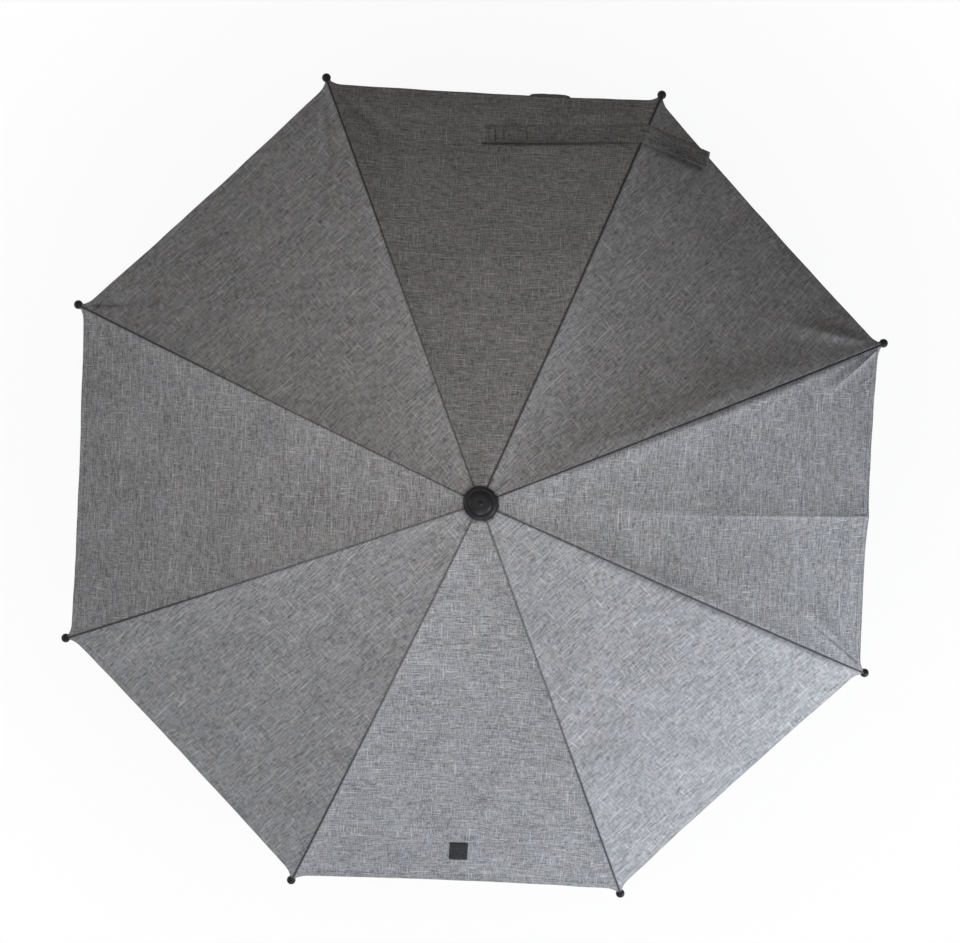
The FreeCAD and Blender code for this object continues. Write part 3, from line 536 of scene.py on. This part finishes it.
# Creases: gore, kind, both ends as (share across, mm along the rib), height and width in mm
creases = [
    (8, "roof", (0.475, 345), (0.455, 60), 2.6, 14),
    (8, "roll", (0.99, 343), (0.90, 285), 1.8, 6),
    (8, "roll", (0.02, 340), (0.165, 275), 1.7, 9),
    (8, "roll", (0.02, 340), (0.36, 285), -2.6, 15),
    (1, "roll", (0.02, 338), (0.20, 290), 1.6, 7),
    (2, "roll", (0.97, 335), (0.84, 290), -2.0, 9),
    (3, "roll", (0.03, 336), (0.13, 280), 1.6, 7),
    (3, "roll", (0.98, 338), (0.82, 298), -1.8, 7),
    (7, "roll", (0.03, 338), (0.14, 300), 1.2, 7),
    (5, "roll", (0.97, 338), (0.86, 295), 1.1, 7),
    (6, "roll", (0.97, 338), (0.90, 305), 1.0, 6),
    (2, "roll", (0.03, 336), (0.30, 318), 1.4, 7),
    (4, "roll", (0.03, 338), (0.14, 300), 1.1, 7),
]

# Sharp fold lines: gore, both ends as mm from the middle line and along the rib, width, darkening as painted
# shade in the fold, rise in mm
foldLines = [
    (8, (-122, 339), (-84, 279), 1.3, 0.42, -0.5),
    (8, (125, 340), (95, 299), 1.2, 0.0, 0.7),
    (8, (104, 338), (96, 322), 1.0, 0.0, 0.35),
    (8, (-6.2, 344), (-6.6, 120), 1.3, 0.0, 0.3),
    (3, (123, 339), (98, 312), 1.2, 0.35, -0.4),
]
for number, start, end, width, dark, rise in foldLines:
    ends = [cutPlace(number, aside * mm, along * mm) for aside, along in (start, end)]
    pressAndShade(cloths["canopyCloth"], *ends, width * mm, dark, rise * mm)


def chordAt(along):
    return 2 * ribPoint(along, canopy["level"])[0] * sin(halfStep)


# Painted shade that a full seam throws on the gore before it
seamShadow = {
    "gores": {8: 0.42, 7: 0.34},  # with the darkening
    "reach": (325 * mm, 30 * mm),
    "inside": 1.4 * mm,
    "width": 2.3 * mm,
}
for number, dark in seamShadow["gores"].items():
    ends = [cutPlace(number, chordAt(along) / 2 - seamShadow["inside"], along)
            for along in seamShadow["reach"]]
    pressAndShade(cloths["canopyCloth"], *ends, seamShadow["width"], dark)


def goreNormal(number, along):
    slope = radians(dome["crownSlope"]) + along / dome["ribBend"]
    steep = atan(tan(slope) / cos(halfStep))
    azimuth = middleAzimuth(number)
    return Vector((cos(azimuth) * sin(steep), sin(azimuth) * sin(steep), cos(steep)))


def gorePoint(number, across, along, lift):  # across runs from 0 on this rib to 1 on the next
    radius, height = ribPoint(along, canopy["level"])
    first = polar(ribAzimuth(number), radius, height)
    second = polar(ribAzimuth(number + 1), radius, height)
    bow = 4 * across * (1 - across)
    share = limited(along / dome["ribLength"])
    inward = canopy["scallop"] * bow * share * share
    sink = canopy["sag"] * bow * sin(pi * share)
    spot = first.lerp(second, across) - outward(middleAzimuth(number)) * inward
    return spot + goreNormal(number, along) * (lift - sink)


def creaseLift(number, across, along):
    lift = 0.0
    here = Vector(((across - 0.5) * chordAt(along), along))
    for gore, kind, start, end, height, width in creases:
        if gore != number:
            continue
        ends = [Vector(((share - 0.5) * chordAt(far * mm), far * mm)) for share, far in (start, end)]
        run = ends[1] - ends[0]
        part = limited((here - ends[0]).dot(run) / run.length_squared)
        gap = (here - ends[0] - run * part).length / (width * mm)
        if kind == "roof":
            lift += height * mm * exp(-gap) * (1 - part) ** 0.5
        else:  # narrow and low at the tip, then swelling and dying away
            gap /= 0.35 + 0.65 * part
            lift += height * mm * exp(-gap * gap) * 4 * part * (1 - part)
    return lift


def seamLift(number, across, along):  # the rolled edge beside each seam
    chord = chordAt(along)
    share = limited(along / dome["ribLength"])
    lift = 0.0
    for seam, hand, gap in ((number, 1, across * chord), (nextRib(number), -1, (1 - across) * chord)):
        rise = 1 - exp(-(gap / canopy["rollRise"]) ** 2)
        lift += canopy["roll"] * rise * exp(-(gap / canopy["rollFade"]) ** 2)
        for rib, side, height, swell, fade in seamFolds:
            if rib == seam and side == hand:
                full = 1 - exp(-(gap / (swell * mm)) ** 2)
                lift += height * mm * full * exp(-(gap / (fade * mm)) ** 2) * sin(pi * share)
    return lift


def clothLift(number, across, along):
    scales = canopy["slackScale"]
    here = Vector(((across - 0.5) * chordAt(along) * scales[0], along * scales[1], number * scales[2]))
    ease = min(1, 6 * across * (1 - across)) * limited(along / dome["ribLength"])
    slack = canopy["slack"] * noise.noise(here) * ease
    return seamLift(number, across, along) + creaseLift(number, across, along) + slack


def clothPoint(number, across, along, lift=0.0):  # a point on the finished cloth, or over it
    spot = gorePoint(number, across, along, clothLift(number, across, along) + lift)
    spot.z = min(spot.z, canopy["apexHeight"] + lift)
    return spot


def hemAlong(number, gap, across):  # where the hem lies, gap being the distance to the nearer seam
    neck = canopy["neckReach"] * exp(-(gap / canopy["neckWidth"]) ** 2)
    wave = canopy["hemWave"] * noise.noise(Vector((across * canopy["hemWaves"], number * 3.1, 0.5)))
    return canopy["corner"] + neck + wave * min(1, gap / canopy["hemEase"])


def seamColumns():  # (side, share or distance, layer) from rib to rib; layer 1 is the allowance below
    edge = [(-1, share * canopy["allowance"], 1) for share in allowanceSteps]
    edge += [(-1, step, 0) for step in seamSteps]
    count = canopy["middleColumns"]
    even = [(i + 1) / (count + 1) for i in range(count)]
    middle = [(0, share - 0.5 * sin(4 * pi * share) / (4 * pi), 0) for share in even]
    return edge + middle + [(1, step, layer) for side, step, layer in reversed(edge)]


def acrossOf(column, along):
    side, step, layer = column
    chord = chordAt(along)
    squeeze = min(1, canopy["seamMost"] * chord / seamSteps[-1])
    band = seamSteps[-1] * squeeze / chord
    if side == 0:
        return band + (1 - 2 * band) * step
    near = step * squeeze / chord
    return near if side < 0 else 1 - near


def makeMesh(name, points, faces, material):
    mesh = bpy.data.meshes.new(name)
    mesh.from_pydata(points, [], faces)
    mesh.materials.append(material)
    for polygon in mesh.polygons:
        polygon.use_smooth = True
    piece = bpy.data.objects.new(name, mesh)
    scene.collection.objects.link(piece)
    return piece


def gridFaces(rows, columns, closed=False, first=0):
    faces = []
    for row in range(rows - 1):
        here, below = first + row * columns, first + (row + 1) * columns
        for column in range(columns if closed else columns - 1):
            after = (column + 1) % columns
            faces.append((here + column, here + after, below + after, below + column))
    return faces


def addRing(points, middle, side, up, radius, sides):  # points round a thread
    for i in range(sides):
        angle = 2 * pi * i / sides
        points.append(middle + (side * cos(angle) + up * sin(angle)) * radius)


def makeSheet(name, cloth, points, faces, cut, shade=None, thickness=canopy["thickness"]):
    piece = makeMesh(name, points, faces, cloths[cloth])
    layer = piece.data.uv_layers.new(name="cut")  # the flat place of each point, for the weave
    for loop in piece.data.loops:
        layer.data[loop.index].uv = cut[loop.vertex_index]
    attribute = piece.data.attributes.new("seamShade", "FLOAT", "POINT")
    attribute.data.foreach_set("value", shade or [0.0] * len(points))
    solid = piece.modifiers.new("thickness", "SOLIDIFY")
    solid.thickness = thickness
    solid.offset = 0
    return piece


def foldGore(piece):  # bakes the piece's place into its points
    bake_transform(piece)


def axisRate(along):  # distance down the middle of a gore for each unit along its rib
    slope = radians(dome["crownSlope"]) + along / dome["ribBend"]
    return sqrt(1 - (sin(halfStep) * cos(slope)) ** 2)


def goreCut():  # width, length and area of a gore as it was cut, with its allowances and hem
    reach = canopy["corner"] - canopy["innerAlong"]
    length = reach * axisRate(reach / 2) + canopy["hemTurn"]
    ends = (canopy["innerAlong"], canopy["corner"])
    narrow, wide = (chordAt(along) + 2 * canopy["allowance"] for along in ends)
    return wide, length, (narrow + wide) / 2 * length


def goreRows():  # share down the gore, distance back from the hem's edge, fall below the cloth
    count = canopy["rows"]
    rows = [((i / (count - 1)) ** canopy["rowSpread"], 0.0, 0.0) for i in range(count - 1)]
    rows += [(1.0, back, fall) for back, fall in hemRound]
    return rows + [(1.0, share * canopy["hemTurn"], canopy["layerGap"]) for share in hemSteps]


def seamBoldness(rib, along):
    start, span = canopy["shadeGrows"]
    share = limited((along / dome["ribLength"] - start) / span)
    base = canopy["boldShade"] if rib in canopy["boldSeams"] else canopy["seamShade"]
    return base + (1 - base) * share * share * (3 - 2 * share)


def makeGore(number):
    columns = seamColumns()
    rows = goreRows()
    points, cut, shade = [], [], []
    for share, back, fall in rows:
        for column in columns:
            side, step, layer = column
            gap = step if side else seamSteps[-1] + min(step, 1 - step) * chordAt(canopy["corner"])
            end = hemAlong(number, gap, acrossOf(column, canopy["corner"]))
            along = canopy["innerAlong"] + (end - canopy["innerAlong"]) * share - back
            across = acrossOf(column, along)
            points.append(clothPoint(number, across, along, -layer * canopy["layerGap"] - fall))
            cut.append(cutPlace(number, (across - 0.5) * chordAt(along), along))
            seamGap = min(across, 1 - across) * chordAt(along) / canopy["seamShadeWidth"]
            hemGap = (end - along) / canopy["hemShadeWidth"]
            bold = seamBoldness(number if across < 0.5 else nextRib(number), along)
            shade.append(bold * exp(-seamGap ** 2) + canopy["hemShade"] * exp(-hemGap ** 2))
    faces = gridFaces(len(rows), len(columns))
    piece = makeSheet("gore_%d" % number, "undersideCloth", points, faces, cut, shade)
    piece.data.materials.append(cloths["canopyCloth"])  # on the upper side and the edges
    solid = piece.modifiers["thickness"]
    solid.material_offset = solid.material_offset_rim = 1
    foldGore(piece)
    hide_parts("gore_%d_right" % number, "gore_%d_left" % number)
    return piece


gores = {number: makeGore(number) for number in ribNumbers}
print("gores sewn")

# Stitches: short threads that dip into the cloth at both ends
sewing = {
    "stitch": 2.4 * mm,
    "pitch": 3.2 * mm,
    "radius": 0.19 * mm,
    "hemInset": 5.6 * mm,
    "hemEnds": 0.03,  # share of the hem left free at each end
    "sides": 5,
    "rings": [(0.0, 0.3, -0.7), (0.2, 1.0, 0.35), (0.8, 1.0, 0.35), (1.0, 0.3, -0.7)],  # place, width, rise
}


def addStitch(points, faces, start, end, up):
    run = end - start
    side = run.cross(up).normalized()
    faces += gridFaces(len(sewing["rings"]), sewing["sides"], True, len(points))
    for share, thick, rise in sewing["rings"]:
        middle = start + run * share + up * (rise * sewing["radius"])
        addRing(points, middle, side, up, thick * sewing["radius"], sewing["sides"])


def sewLine(points, faces, place, length):  # place gives a point and its upward way at a share of the line
    count = max(1, round(length / sewing["pitch"]))
    fill = sewing["stitch"] / sewing["pitch"]
    for i in range(count):
        start, up = place((i + (1 - fill) / 2) / count)
        end, up = place((i + (1 + fill) / 2) / count)
        addStitch(points, faces, start, end, up)


def sewBox(points, faces, near, far, low, high, place):  # place gives a point and its upward way on the cloth
    corners = [Vector(corner) for corner in ((near, low), (far, low), (far, high), (near, high))]
    for begin, end in zip(corners, corners[1:] + corners[:1]):
        sewLine(points, faces, lambda share: place(begin.lerp(end, share)), (end - begin).length)


def hemPlace(number, share, under):  # along the hem, on the cloth or on the turned edge below it
    along = canopy["corner"] - sewing["hemInset"]
    across = sewing["hemEnds"] + (1 - 2 * sewing["hemEnds"]) * share
    half = canopy["thickness"] / 2
    lift = -canopy["layerGap"] - half if under else half
    normal = goreNormal(number, along)
    return clothPoint(number, across, along, lift), -normal if under else normal


def makeHemStitches(number):
    points, faces = [], []
    length = (1 - 2 * sewing["hemEnds"]) * chordAt(canopy["corner"])
    for under in (False, True):
        sewLine(points, faces, lambda share: hemPlace(number, share, under), length)
    piece = makeMesh("hemStitches_%d" % number, points, faces, finishes["threadGrey"])
    foldGore(piece)
    return piece


for number, gore in gores.items():
    width, length, area = goreCut()
    makeHemStitches(number)
print("hems stitched")

# Tie strap: a folded band sewn to a seam, its fold lifted off the cloth, one length on each side of the rib
tieStrap = {
    "gore": 2,
    "side": 1,  # it starts on this gore's own rib
    "along": 309.5 * mm,
    "turn": -2.5,
    "length": 126 * mm,
    "width": 16.5 * mm,
    "overlap": 0.4 * mm,
    "gap": 0.34 * mm,
    "layer": 0.33 * mm,
    "flat": 0.12 * mm,  # height of the sewn edge over the cloth
    "flatLayer": 0.15,  # share of the layer left there
    "bridge": 12 * mm,  # how far the rolled seam holds it up
    "lift": 2.8 * mm,
    "liftFrom": 0.08,  # share of the length that lies flat
    "liftWaves": 9,
    "shadow": (1.0, -0.1, 1.7 * mm, 0.8),  # painted shadow below the fold: from and to in lengths, width, darkening
    "foldShades": [(-0.485, 0.6), (-0.45, 0.1)],  # up to a share of the width, darkening
    "cut": (3.1, 5.3),  # its place on the flat cloth
    "rows": 64,
    "body": "gore_2_right",
    "node": "tie_strap",
    "boxes": [(1.5 * mm, 12 * mm), (92 * mm, 110 * mm), (116 * mm, 122 * mm)],
    "boxHalf": 6.6 * mm,
    "sunk": {92 * mm: 0.4, 110 * mm: 0.3, 116.5 * mm: 0.65, 6 * mm: 0.25},  # stitched in, with darkening that paints shade in the dents
    "sunkWidth": 0.7 * mm,
    "sunkDepth": 0.2 * mm,
}
tieTail = dict(tieStrap, gore=1, side=-1, turn=30, length=57 * mm, lift=3.6 * mm, rows=30, body="gore_1_left",
               node="tie_strap_tail", boxes=[(40 * mm, 53 * mm)], shadow=(0.9, -0.2, 3.8 * mm, 0.65))


def bandPlace(band, far, wide):  # across and along of a point on the band
    turn = radians(band["turn"])
    aside = far * cos(turn) - wide * sin(turn)
    down = far * sin(turn) + wide * cos(turn)
    along = band["along"] + down / axisRate(band["along"])
    across = 0.5 + (aside - chordAt(band["along"]) / 2) / chordAt(along)
    return across if band["side"] > 0 else 1 - across, along


def bandStart(band, wide):  # where the band's line meets the rib
    turn = radians(band["turn"])
    rate = axisRate(band["along"])
    lean = sqrt(1 - rate * rate) / rate
    down = wide * (sin(turn) - lean * cos(turn)) - band["overlap"]
    return down / (cos(turn) + lean * sin(turn))


def bandPoint(band, far, wide, layer, proud=0.0):  # layer runs from 0, the lower one, to 1
    across, along = bandPlace(band, far, wide)
    share = limited(far / band["length"])
    loose = min(1, max(0, share - band["liftFrom"]) * 4) * (0.75 + 0.25 * cos(share * band["liftWaves"]))
    edge = (0.5 - wide / band["width"]) ** 2
    bridge = canopy["roll"] * exp(-(max(far, 0) / band["bridge"]) ** 2)
    rest = max(clothLift(band["gore"], across, along), bridge) + band["lift"] * loose * edge + proud
    sewn = limited(4 * wide / band["width"] - 1) ** 2
    free = band["gap"] + layer * band["layer"]
    flat = band["flat"] + band["flatLayer"] * layer * band["layer"]
    return gorePoint(band["gore"], across, along, rest + free * (1 - sewn) + flat * sewn)


def bandProfile(count=8):  # shares of width and layer, from the lower raw edge round the fold and back
    edge = [(0.5, 0.0), (0.495, 0.0), (0.47, 0.0)]  # close loops keep the sewn edge crisp
    lower = edge + [(0.5 - 0.96 * (i + 1) / count, 0.0) for i in range(count)]
    upper = [(wide, 1.0) for wide, height in reversed(lower)]
    return lower + [(-0.49, 0.18), (-0.5, 0.5), (-0.49, 0.82)] + upper


def bandBoxes(band):  # stitched boxes through both layers
    points, faces = [], []
    half = canopy["thickness"] / 2
    normal = goreNormal(band["gore"], band["along"])
    for near, far in band["boxes"]:
        sewBox(points, faces, near, far, -band["boxHalf"], band["boxHalf"],
               lambda spot: (bandPoint(band, *spot, 1, half), normal))
    piece = makeMesh(band["node"] + "_stitches", points, faces, finishes["threadBlack"])
    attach(piece, band["body"])
    return piece


def makeBand(name, band):
    profile = bandProfile()
    points, cut, shade = [], [], []
    for row in range(band["rows"] + 1):
        for wideShare, layerShare in profile:
            wide = wideShare * band["width"]
            start = bandStart(band, wide)
            far = start + (band["length"] - start) * row / band["rows"]
            points.append(bandPoint(band, far, wide, layerShare))
            cut.append((far + band["cut"][0], (wide if layerShare > 0.5 else -wide) + band["cut"][1]))
            shade.append(next((dark for most, dark in band["foldShades"] if wideShare < most), 0.0))
    piece = makeSheet(name, "strapCloth", points, gridFaces(band["rows"] + 1, len(profile)), cut, shade)
    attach(piece, band["body"])
    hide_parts(band["node"])
    bandBoxes(band)


def shadeBelow(band):  # painted shadow on the cloth under the lifted fold
    near, far, width, dark = band["shadow"]
    ends = []
    for share in (near, far):
        across, along = bandPlace(band, share * band["length"], -band["width"] / 2)
        ends.append(cutPlace(band["gore"], (across - 0.5) * chordAt(along), along))
    pressAndShade(cloths["canopyCloth"], *ends, width, dark)


def pressStitches(band):
    aside, down = band["cut"]
    for far, dark in band["sunk"].items():
        ends = [(far + aside, wide + down) for wide in (-band["boxHalf"], band["boxHalf"])]
        pressAndShade(cloths["strapCloth"], *ends, band["sunkWidth"], dark, -band["sunkDepth"])


makeBand("tieBand", tieStrap)
makeBand("tieBandTail", tieTail)
pressStitches(tieStrap)
shadeBelow(tieStrap)
shadeBelow(tieTail)
print("tie strap sewn on")

# Hem tab: a small fold of the cloth caught in the hem beside the strap
hemTab = {
    "gore": 2,
    "fromRib": 86 * mm,
    "width": 33 * mm,
    "showing": 3.0 * mm,
    "caught": 9.0 * mm,
    "layer": 0.5 * mm,
    "below": 2.1,  # cloth layers over it in the hem
    "wave": 0.5 * mm,
    "cut": (7.7, 2.9),  # its place on the flat cloth
    "cutLayer": 0.02,
    "columns": 24,
    "steps": 8,
}


def makeHemTab():
    points, cut = [], []
    number = hemTab["gore"]
    steps = hemTab["steps"]
    profile = [(i / steps, 0.0) for i in range(steps + 1)] + [(1.02, 0.5)]
    profile += [(1 - i / steps, 1.0) for i in range(steps + 1)]
    rate = axisRate(canopy["corner"])
    for column in range(hemTab["columns"] + 1):
        side = 2 * column / hemTab["columns"] - 1
        wave = hemTab["wave"] * noise.noise(Vector((side * 2.2, 4.1, 0.0)))
        showing = (hemTab["showing"] + wave) * max(0, 1 - abs(side) ** 5) ** 0.5
        for share, layer in profile:
            down = -hemTab["caught"] + (hemTab["caught"] + showing) * share
            along = canopy["corner"] + down / rate
            aside = hemTab["fromRib"] + side * hemTab["width"] / 2
            across = 0.5 + (aside - chordAt(canopy["corner"]) / 2) / chordAt(along)
            sunk = -hemTab["below"] * canopy["layerGap"] - (1 - layer) * hemTab["layer"]
            points.append(clothPoint(number, across, along, sunk))
            cut.append((aside + hemTab["cut"][0], down + layer * hemTab["cutLayer"] + hemTab["cut"][1]))
    piece = makeSheet("hemTab", "canopyCloth", points, gridFaces(hemTab["columns"] + 1, len(profile)), cut)
    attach(piece, "gore_%d_right" % number)


makeHemTab()

# Plain woven patch sewn near the hem of one gore
patch = {
    "gore": 6,
    "width": 14.4 * mm,
    "length": 16.8 * mm,
    "aboveHem": 22 * mm,
    "gap": 0.42 * mm,
    "puff": 0.25 * mm,
    "inset": 1.3 * mm,
    "cut": (1.3, 8.9),
    "columns": 16,
    "rows": 18,
}


def patchPoint(aside, down, lift):  # aside and down from the patch's own middle
    rate = axisRate(canopy["corner"])
    along = canopy["corner"] - (patch["aboveHem"] + patch["length"] / 2 - down) / rate
    return clothPoint(patch["gore"], 0.5 + aside / chordAt(along), along, lift)


def makePatch():
    points, cut = [], []
    for row in range(patch["rows"] + 1):
        for column in range(patch["columns"] + 1):
            sideShare = 2 * column / patch["columns"] - 1
            downShare = 2 * row / patch["rows"] - 1
            swell = (1 - sideShare ** 6) * (1 - downShare ** 6)
            aside = sideShare * patch["width"] / 2
            down = downShare * patch["length"] / 2
            points.append(patchPoint(aside, down, patch["gap"] + patch["puff"] * swell))
            cut.append((aside + patch["cut"][0], down + patch["cut"][1]))
    faces = gridFaces(patch["rows"] + 1, patch["columns"] + 1)
    piece = makeSheet("wovenPatch", "patchCloth", points, faces, cut)
    foldGore(piece)
    sewn, faces = [], []
    halfWidth = patch["width"] / 2 - patch["inset"]
    halfLength = patch["length"] / 2 - patch["inset"]
    top = patch["gap"] + patch["puff"] + canopy["thickness"] / 2
    normal = goreNormal(patch["gore"], canopy["corner"])
    sewBox(sewn, faces, -halfWidth, halfWidth, -halfLength, halfLength,
           lambda spot: (patchPoint(*spot, top), normal))
    border = makeMesh("wovenPatch_stitches", sewn, faces, finishes["threadBlack"])
    foldGore(border)


makePatch()
print("tab and patch sewn on")

# Apex washer: a cut disc of cloth under the cap, its edge frayed and a little off centre
washer = {
    "radius": 12.7 * mm,
    "hole": 6.0 * mm,
    "fray": 0.8 * mm,
    "frayScales": (3.1, 9.7),
    "fineFray": 0.6,
    "wave": 0.25 * mm,
    "shift": (1.5 * mm, -0.9 * mm),
    "thickness": 0.6 * mm,
    "columns": 96,
    "rings": 10,
}


def makeWasher():
    low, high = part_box("apex_washer")
    points, cut = [], []
    coarse, fine = washer["frayScales"]
    for ring in range(washer["rings"] + 1):
        share = ring / washer["rings"]
        for column in range(washer["columns"]):
            around = outward(2 * pi * column / washer["columns"])
            rough = noise.noise(around * coarse) + washer["fineFray"] * noise.noise(around * fine)
            radius = washer["hole"] + (washer["radius"] + washer["fray"] * rough - washer["hole"]) * share
            wave = washer["wave"] * noise.noise(around * 2.3 + Vector((5, 0, 0))) * share ** 6
            shift = Vector((*washer["shift"], 0)) * share
            middle = Vector((dome["shaftX"], 0, (low.z + high.z) / 2 + wave))
            points.append(middle + around * radius + shift)
            cut.append((around.x * radius, around.y * radius))
    faces = gridFaces(washer["rings"] + 1, washer["columns"], True)
    piece = makeSheet("clothWasher", "washerCloth", points, faces, cut, thickness=washer["thickness"])
    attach(piece, "upper")
    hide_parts("apex_washer")


makeWasher()

# Rib ties: a few turns of thread round each rib and the seam allowance over it
ribTie = {
    "alongs": (72 * mm, 312 * mm),
    "thread": 0.24 * mm,
    "turns": 4,
    "pitch": 0.55 * mm,
    "half": 2.05 * mm,
    "low": -2.05 * mm,
    "high": 1.75 * mm,
    "square": 0.6,  # 0 is round, 1 is square
    "steps": 24,
    "sides": 6,
}


def tiePoint(number, along, turn):  # a rounded square round the rib, at a share of its turns
    angle = 2 * pi * turn
    square = max(abs(cos(angle)), abs(sin(angle))) ** ribTie["square"]
    middle = (ribTie["high"] + ribTie["low"]) / 2
    aside = ribTie["half"] * cos(angle) / square
    above = middle + (ribTie["high"] - middle) * sin(angle) / square
    radius, height = ribPoint(along + (turn - ribTie["turns"] / 2) * ribTie["pitch"], above)
    azimuth = ribAzimuth(number)
    return polar(azimuth, radius, height) + sideways(azimuth) * aside


def makeRibTie(number):
    points, faces = [], []
    count = ribTie["turns"] * ribTie["steps"]
    sides = ribTie["sides"]
    up = outward(ribAzimuth(number))
    for along in ribTie["alongs"]:
        first = len(points)
        path = [tiePoint(number, along, i / ribTie["steps"]) for i in range(count + 1)]
        for i, spot in enumerate(path):
            run = (path[min(i + 1, count)] - path[max(i - 1, 0)]).normalized()
            addRing(points, spot, run.cross(up).normalized(), up, ribTie["thread"], sides)
        faces += gridFaces(count + 1, sides, True, first)
        faces.append(tuple(first + j for j in range(sides)))
        faces.append(tuple(first + count * sides + j for j in reversed(range(sides))))
    piece = makeMesh("ribTie_%d" % number, points, faces, finishes["threadBlack"])
    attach(piece, "rib_%d" % number)


for number in ribNumbers:
    makeRibTie(number)
print("washer and rib ties made")

# Floor: pale, showing white to the camera with the object's shadow on it
stage = {
    "floorSize": 14.0,
    "floorGap": 0.4 * mm,
    "floorColour": (0.82, 0.82, 0.82, 1),
    "floorRoughness": 0.9,
    "floorWhite": 0.84,  # share of plain white near the object
    "floorFade": (0.12, 0.75),  # where the floor runs out into the white behind it
    "fill": 0.03,
    "fillColour": (1.0, 0.86, 0.72, 1),
}

# Soft lamps round the crown: turn and rise in degrees, distance and size in metres, power in watts, colour
lamps = {
    "key": (325, 3, 0.9, 0.3, 8.5, (0.915, 0.97, 1.055)),
    "side": (180, 5, 3.0, 1.0, 37.6, (0.99, 1.0, 1.02)),
    "top": (130, 86, 0.45, 0.5, 1.7, (0.996, 0.95, 0.915)),
    "low": (275, 21, 2.0, 0.6, 26.2, (0.92, 0.97, 1.055)),
}


def seenDirectly(tree):  # camera, glossy and transmission rays
    path = addNode(tree, "ShaderNodeLightPath")
    seen = calc(tree, "MAXIMUM", path.outputs["Is Camera Ray"], path.outputs["Is Glossy Ray"])
    return calc(tree, "MAXIMUM", seen, path.outputs["Is Transmission Ray"])


def makeStage():
    half = stage["floorSize"] / 2
    low = cadBox[0].z - stage["floorGap"]
    corners = [(-half, -half, low), (half, -half, low), (half, half, low), (-half, half, low)]
    material, tree, shader = newMaterial("paleFloor")
    shader.inputs["Base Color"].default_value = stage["floorColour"]
    shader.inputs["Roughness"].default_value = stage["floorRoughness"]
    clear = addNode(tree, "ShaderNodeBsdfTransparent")  # a pose that reaches below the floor still shows
    spot = addNode(tree, "ShaderNodeNewGeometry").outputs["Position"]
    away = vectorCalc(tree, "LENGTH", spot).outputs["Value"]
    fade = ramp(tree, away, *stage["floorFade"])
    white = calc(tree, "MULTIPLY_ADD", fade, 1 - stage["floorWhite"], stage["floorWhite"])
    shadow = addNode(tree, "ShaderNodeLightPath").outputs["Is Shadow Ray"]
    below = addNode(tree, "ShaderNodeNewGeometry").outputs["Backfacing"]
    passed = calc(tree, "MAXIMUM", shadow, below)
    seen = calc(tree, "MULTIPLY", seenDirectly(tree), white)
    mixShaders(tree, calc(tree, "MAXIMUM", seen, passed), shader, clear, tree.nodes["Material Output"])
    makeMesh("floor", corners, [(0, 1, 2, 3)], material)


def makeLight():
    world = bpy.data.worlds.new("studio")
    scene.world = world
    world.use_nodes = True
    tree = world.node_tree
    tree.nodes.clear()
    fill = addNode(tree, "ShaderNodeBackground")
    fill.inputs[0].default_value = stage["fillColour"]
    fill.inputs[1].default_value = stage["fill"]
    white = addNode(tree, "ShaderNodeBackground")
    white.inputs[0].default_value = (1, 1, 1, 1)
    mixShaders(tree, seenDirectly(tree), fill, white, addNode(tree, "ShaderNodeOutputWorld"))


def makeLamp(name, turn, rise, far, size, power, colour):
    lamp = bpy.data.lights.new(name, "AREA")
    lamp.energy = power
    lamp.size = size
    lamp.color = colour
    piece = bpy.data.objects.new(name, lamp)
    piece.visible_camera = False
    scene.collection.objects.link(piece)
    turn, rise = radians(turn), radians(rise)
    away = Vector((cos(turn) * cos(rise), sin(turn) * cos(rise), sin(rise)))
    piece.location = crownPlace + away * far
    piece.rotation_euler = away.to_track_quat("Z", "Y").to_euler()


makeStage()
makeLight()
for name, look in lamps.items():
    makeLamp(name, *look)
print("stage lit")
